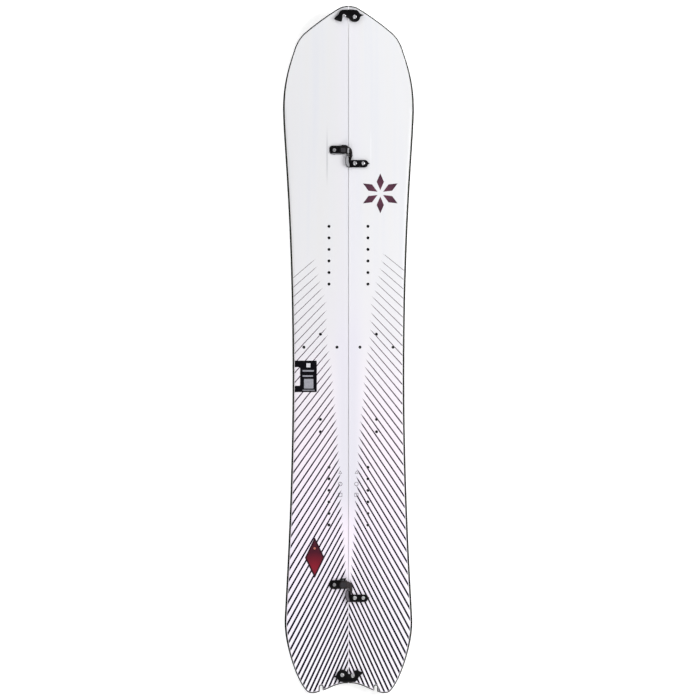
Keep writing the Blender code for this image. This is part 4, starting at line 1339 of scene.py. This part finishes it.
def add_lever_pin(prefix, matrix):
    """Pivot pin of a lever, under a square cap."""
    shaft = [(circle(LEVER_PIVOT, radius), z)
             for radius, z in ((0.0021, 0.0006), (0.0025, 0.0010), (0.0025, 0.0076))]
    x, y = LEVER_PIVOT
    cap = rectangle(x - 0.0050, x + 0.0056, y - 0.0046, y + 0.0046, 0.0018)
    work = joined([layered(shaft), layered(plate_loops(cap, 0.0073, 0.0084, 0.0004))])
    finish_fitting(work, f"{prefix}_lever_pin_detail", ["cap"], "left_half", matrix)


def add_clip_catch(prefix, matrix, finger_look):
    """Catch of a lever clip: a screwed black plate and a paler finger that bulges over the seam."""
    holes = bores(CATCH_SCREWS, PLATE_BOTTOM, PLATE_TOP)
    plate = beveled_plate(catch_plate_outline(), PLATE_BOTTOM, PLATE_TOP, 0.0006, holes)
    node = f"{prefix}_clip_catch"
    finish_fitting(plate, f"{node}_plate", ["clip", "clip_worn"], "right_half",
                   matrix, node)
    finger = layered(plate_loops(crescent_outline(), PLATE_BOTTOM, LEVER_TOP, 0.0011))
    paint_faces(finger, 1, lambda co: co.z > LEVER_TOP - 1e-6)
    foot = rectangle(-0.0030, 0.0055, -0.0200, 0.0010, 0.002)
    work = joined([finger, layered(plate_loops(foot, PLATE_BOTTOM, 0.0028, 0.0004))])
    finish_fitting(work, f"{node}_finger", ["clip", finger_look], "right_half",
                   matrix, node)


def add_lever_clip(prefix, tab, ledge_look, lever_looks, finger_look):
    """Base, lever, pin, catch and screws of one lever clip."""
    matrix = clip_matrix(prefix)
    head_z = PLATE_TOP + HEAD_GAP
    add_clip_base(prefix, matrix, ledge_look)
    add_clip_lever(prefix, matrix, tab, lever_looks)
    add_lever_pin(prefix, matrix)
    add_clip_catch(prefix, matrix, finger_look)
    add_cap_screw(f"{prefix}_base_screw_detail", CLIP_SCREW, head_z, SHANK_END, matrix, "left_half",
                  "screw_dull", 0.0038)
    for name, point, reach in zip(("inner", "outer"), CATCH_SCREWS, (0.0043, 0.0039)):
        add_cap_screw(f"{prefix}_catch_screw_{name}_detail", point, head_z, SHANK_END, matrix,
                      "right_half", "screw", reach)


def add_end_hook(prefix, hook_half, post_half):
    """Hook, spacer, pivot screw and catch post at one end of the board."""
    matrix = hook_matrix(prefix)
    hole = bores([HOOK_PIVOT], HOOK_BOTTOM, HOOK_TOP)
    hook = beveled_plate(hook_outline(), HOOK_BOTTOM, HOOK_TOP, 0.0007, hole)
    finish_fitting(hook, f"{prefix}_hook_detail", ["clip", "clip_worn"], f"{prefix}_hook",
                   matrix)
    spacer_top = HOOK_BOTTOM - 0.0003
    hole = bores([HOOK_PIVOT], PLATE_BOTTOM, spacer_top, 0.0030)
    ring = plate_loops(circle(HOOK_PIVOT, 0.0090, 40), PLATE_BOTTOM, spacer_top, 0.0002)
    finish_fitting(layered(ring, hole), f"{prefix}_hook_spacer_detail", ["spacer"], hook_half,
                   matrix)
    screw_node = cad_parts[f"{prefix}_hook_screw"]
    low_end = min(vert.co.z for vert in screw_node.data.vertices)
    shank_z = low_end - matrix.translation.z + 0.0016
    add_cap_screw(f"{prefix}_hook_screw_detail", HOOK_PIVOT, HOOK_TOP + HEAD_GAP, shank_z, matrix,
                  hook_half)
    post = [
        (0.0019, shank_z), (0.0025, shank_z + 0.0006), (0.0025, 0.0003), (0.0050, 0.0003),
        (0.0052, 0.0005), (0.0052, 0.0013), (0.0050, 0.0015), (0.0025, 0.0015), (0.0025, 0.0056),
        (0.0038, 0.0056), (0.0040, 0.0058), (0.0040, 0.0064), (0.0036, 0.0069), (0.0030, 0.0072),
        (0.0027, 0.0072),
    ]
    work = turned(post, HOOK_POST, socket(HOOK_POST, post[-1][1], 0.0026, 0.0009))
    finish_fitting(work, f"{prefix}_catch_post_detail", ["screw"], post_half, matrix)


# ---------------------------------------------------------------- what stays of the CAD model
def dress_cad_nodes():
    """Materials for the CAD nodes that stay."""
    for name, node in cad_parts.items():
        if node.hide_render:
            continue
        for slot in node.material_slots:
            slot.material = LOOKS["insert"]


# ---------------------------------------------------------------- studio
def studio_world():
    """White room: bright towards the horizon, dim overhead."""
    world = bpy.data.worlds.new("studio_world")
    world.use_nodes = True
    tree = world.node_tree
    direction = tree.nodes.new("ShaderNodeTexCoord")
    split = tree.nodes.new("ShaderNodeSeparateXYZ")
    tree.links.new(direction.outputs["Generated"], split.inputs["Vector"])
    fade = tree.nodes.new("ShaderNodeMapRange")
    tree.links.new(split.outputs["Z"], fade.inputs["Value"])
    for key, value in (("From Min", 0.15), ("From Max", 0.70), ("To Min", 0.95), ("To Max", 0.16)):
        fade.inputs[key].default_value = value
    tree.links.new(fade.outputs["Result"], tree.nodes["Background"].inputs["Strength"])
    tree.nodes["Background"].inputs["Color"].default_value = (1.0, 1.0, 1.0, 1.0)
    return world


def add_studio():
    """White floor and world, soft lights with the key from the right, and a camera overhead."""
    scene = bpy.context.scene
    scene.view_settings.view_transform = "Standard"
    scene.world = studio_world()
    work = bmesh.new()
    reach = 14.0
    corners = rounded([(-reach, -reach), (reach, -reach), (reach, reach), (-reach, reach)], 4.0, 8)
    work.faces.new([work.verts.new((x, y, cad_low.z - 0.0005)) for x, y in corners])
    mesh = bpy.data.meshes.new("studio_floor")
    work.to_mesh(mesh)
    work.free()
    mesh.materials.append(floor_look())
    floor = bpy.data.objects.new("studio_floor", mesh)
    scene.collection.objects.link(floor)
    for name, place, power in (
        ("key", (2.4, 0.5, 1.9), 88.0),
        ("nose_fill", (-0.7, 2.6, 1.9), 46.0),
        ("tail_fill", (-0.7, -2.6, 1.9), 48.0),
    ):
        light = bpy.data.lights.new(name, "AREA")
        light.shape = "DISK"
        light.size = 2.0
        light.energy = power
        lamp = bpy.data.objects.new(name, light)
        lamp.location = place
        lamp.rotation_euler = (-Vector(place)).to_track_quat("-Z", "Y").to_euler()
        scene.collection.objects.link(lamp)
    lens = bpy.data.cameras.new("overhead")
    lens.sensor_width = 36.0
    lens.lens = 400.0
    lens.clip_end = 100.0
    camera = bpy.data.objects.new("overhead", lens)
    scene.collection.objects.link(camera)
    view_height = 1.540
    distance = view_height * lens.lens / lens.sensor_width
    camera.location = (0.0034, -0.0004, distance)
    scene.camera = camera


for half in SIDES:
    add_board_half(half)
    add_inserts(half)
    add_stripes(half)
add_prints()
add_seam_marks()
add_sticker()
# the front clip's ledge and lever facet take the painted highlight look
add_lever_clip("front", FRONT_TAB, "facet", ("lever", "clip_worn", "facet"), "catch")
add_lever_clip("rear", REAR_TAB, "lever", ("lever_brown", "clip_worn", "lever_brown"), "catch_dark")
add_end_hook("nose", "right_half", "left_half")
add_end_hook("tail", "left_half", "right_half")
dress_cad_nodes()
add_studio()
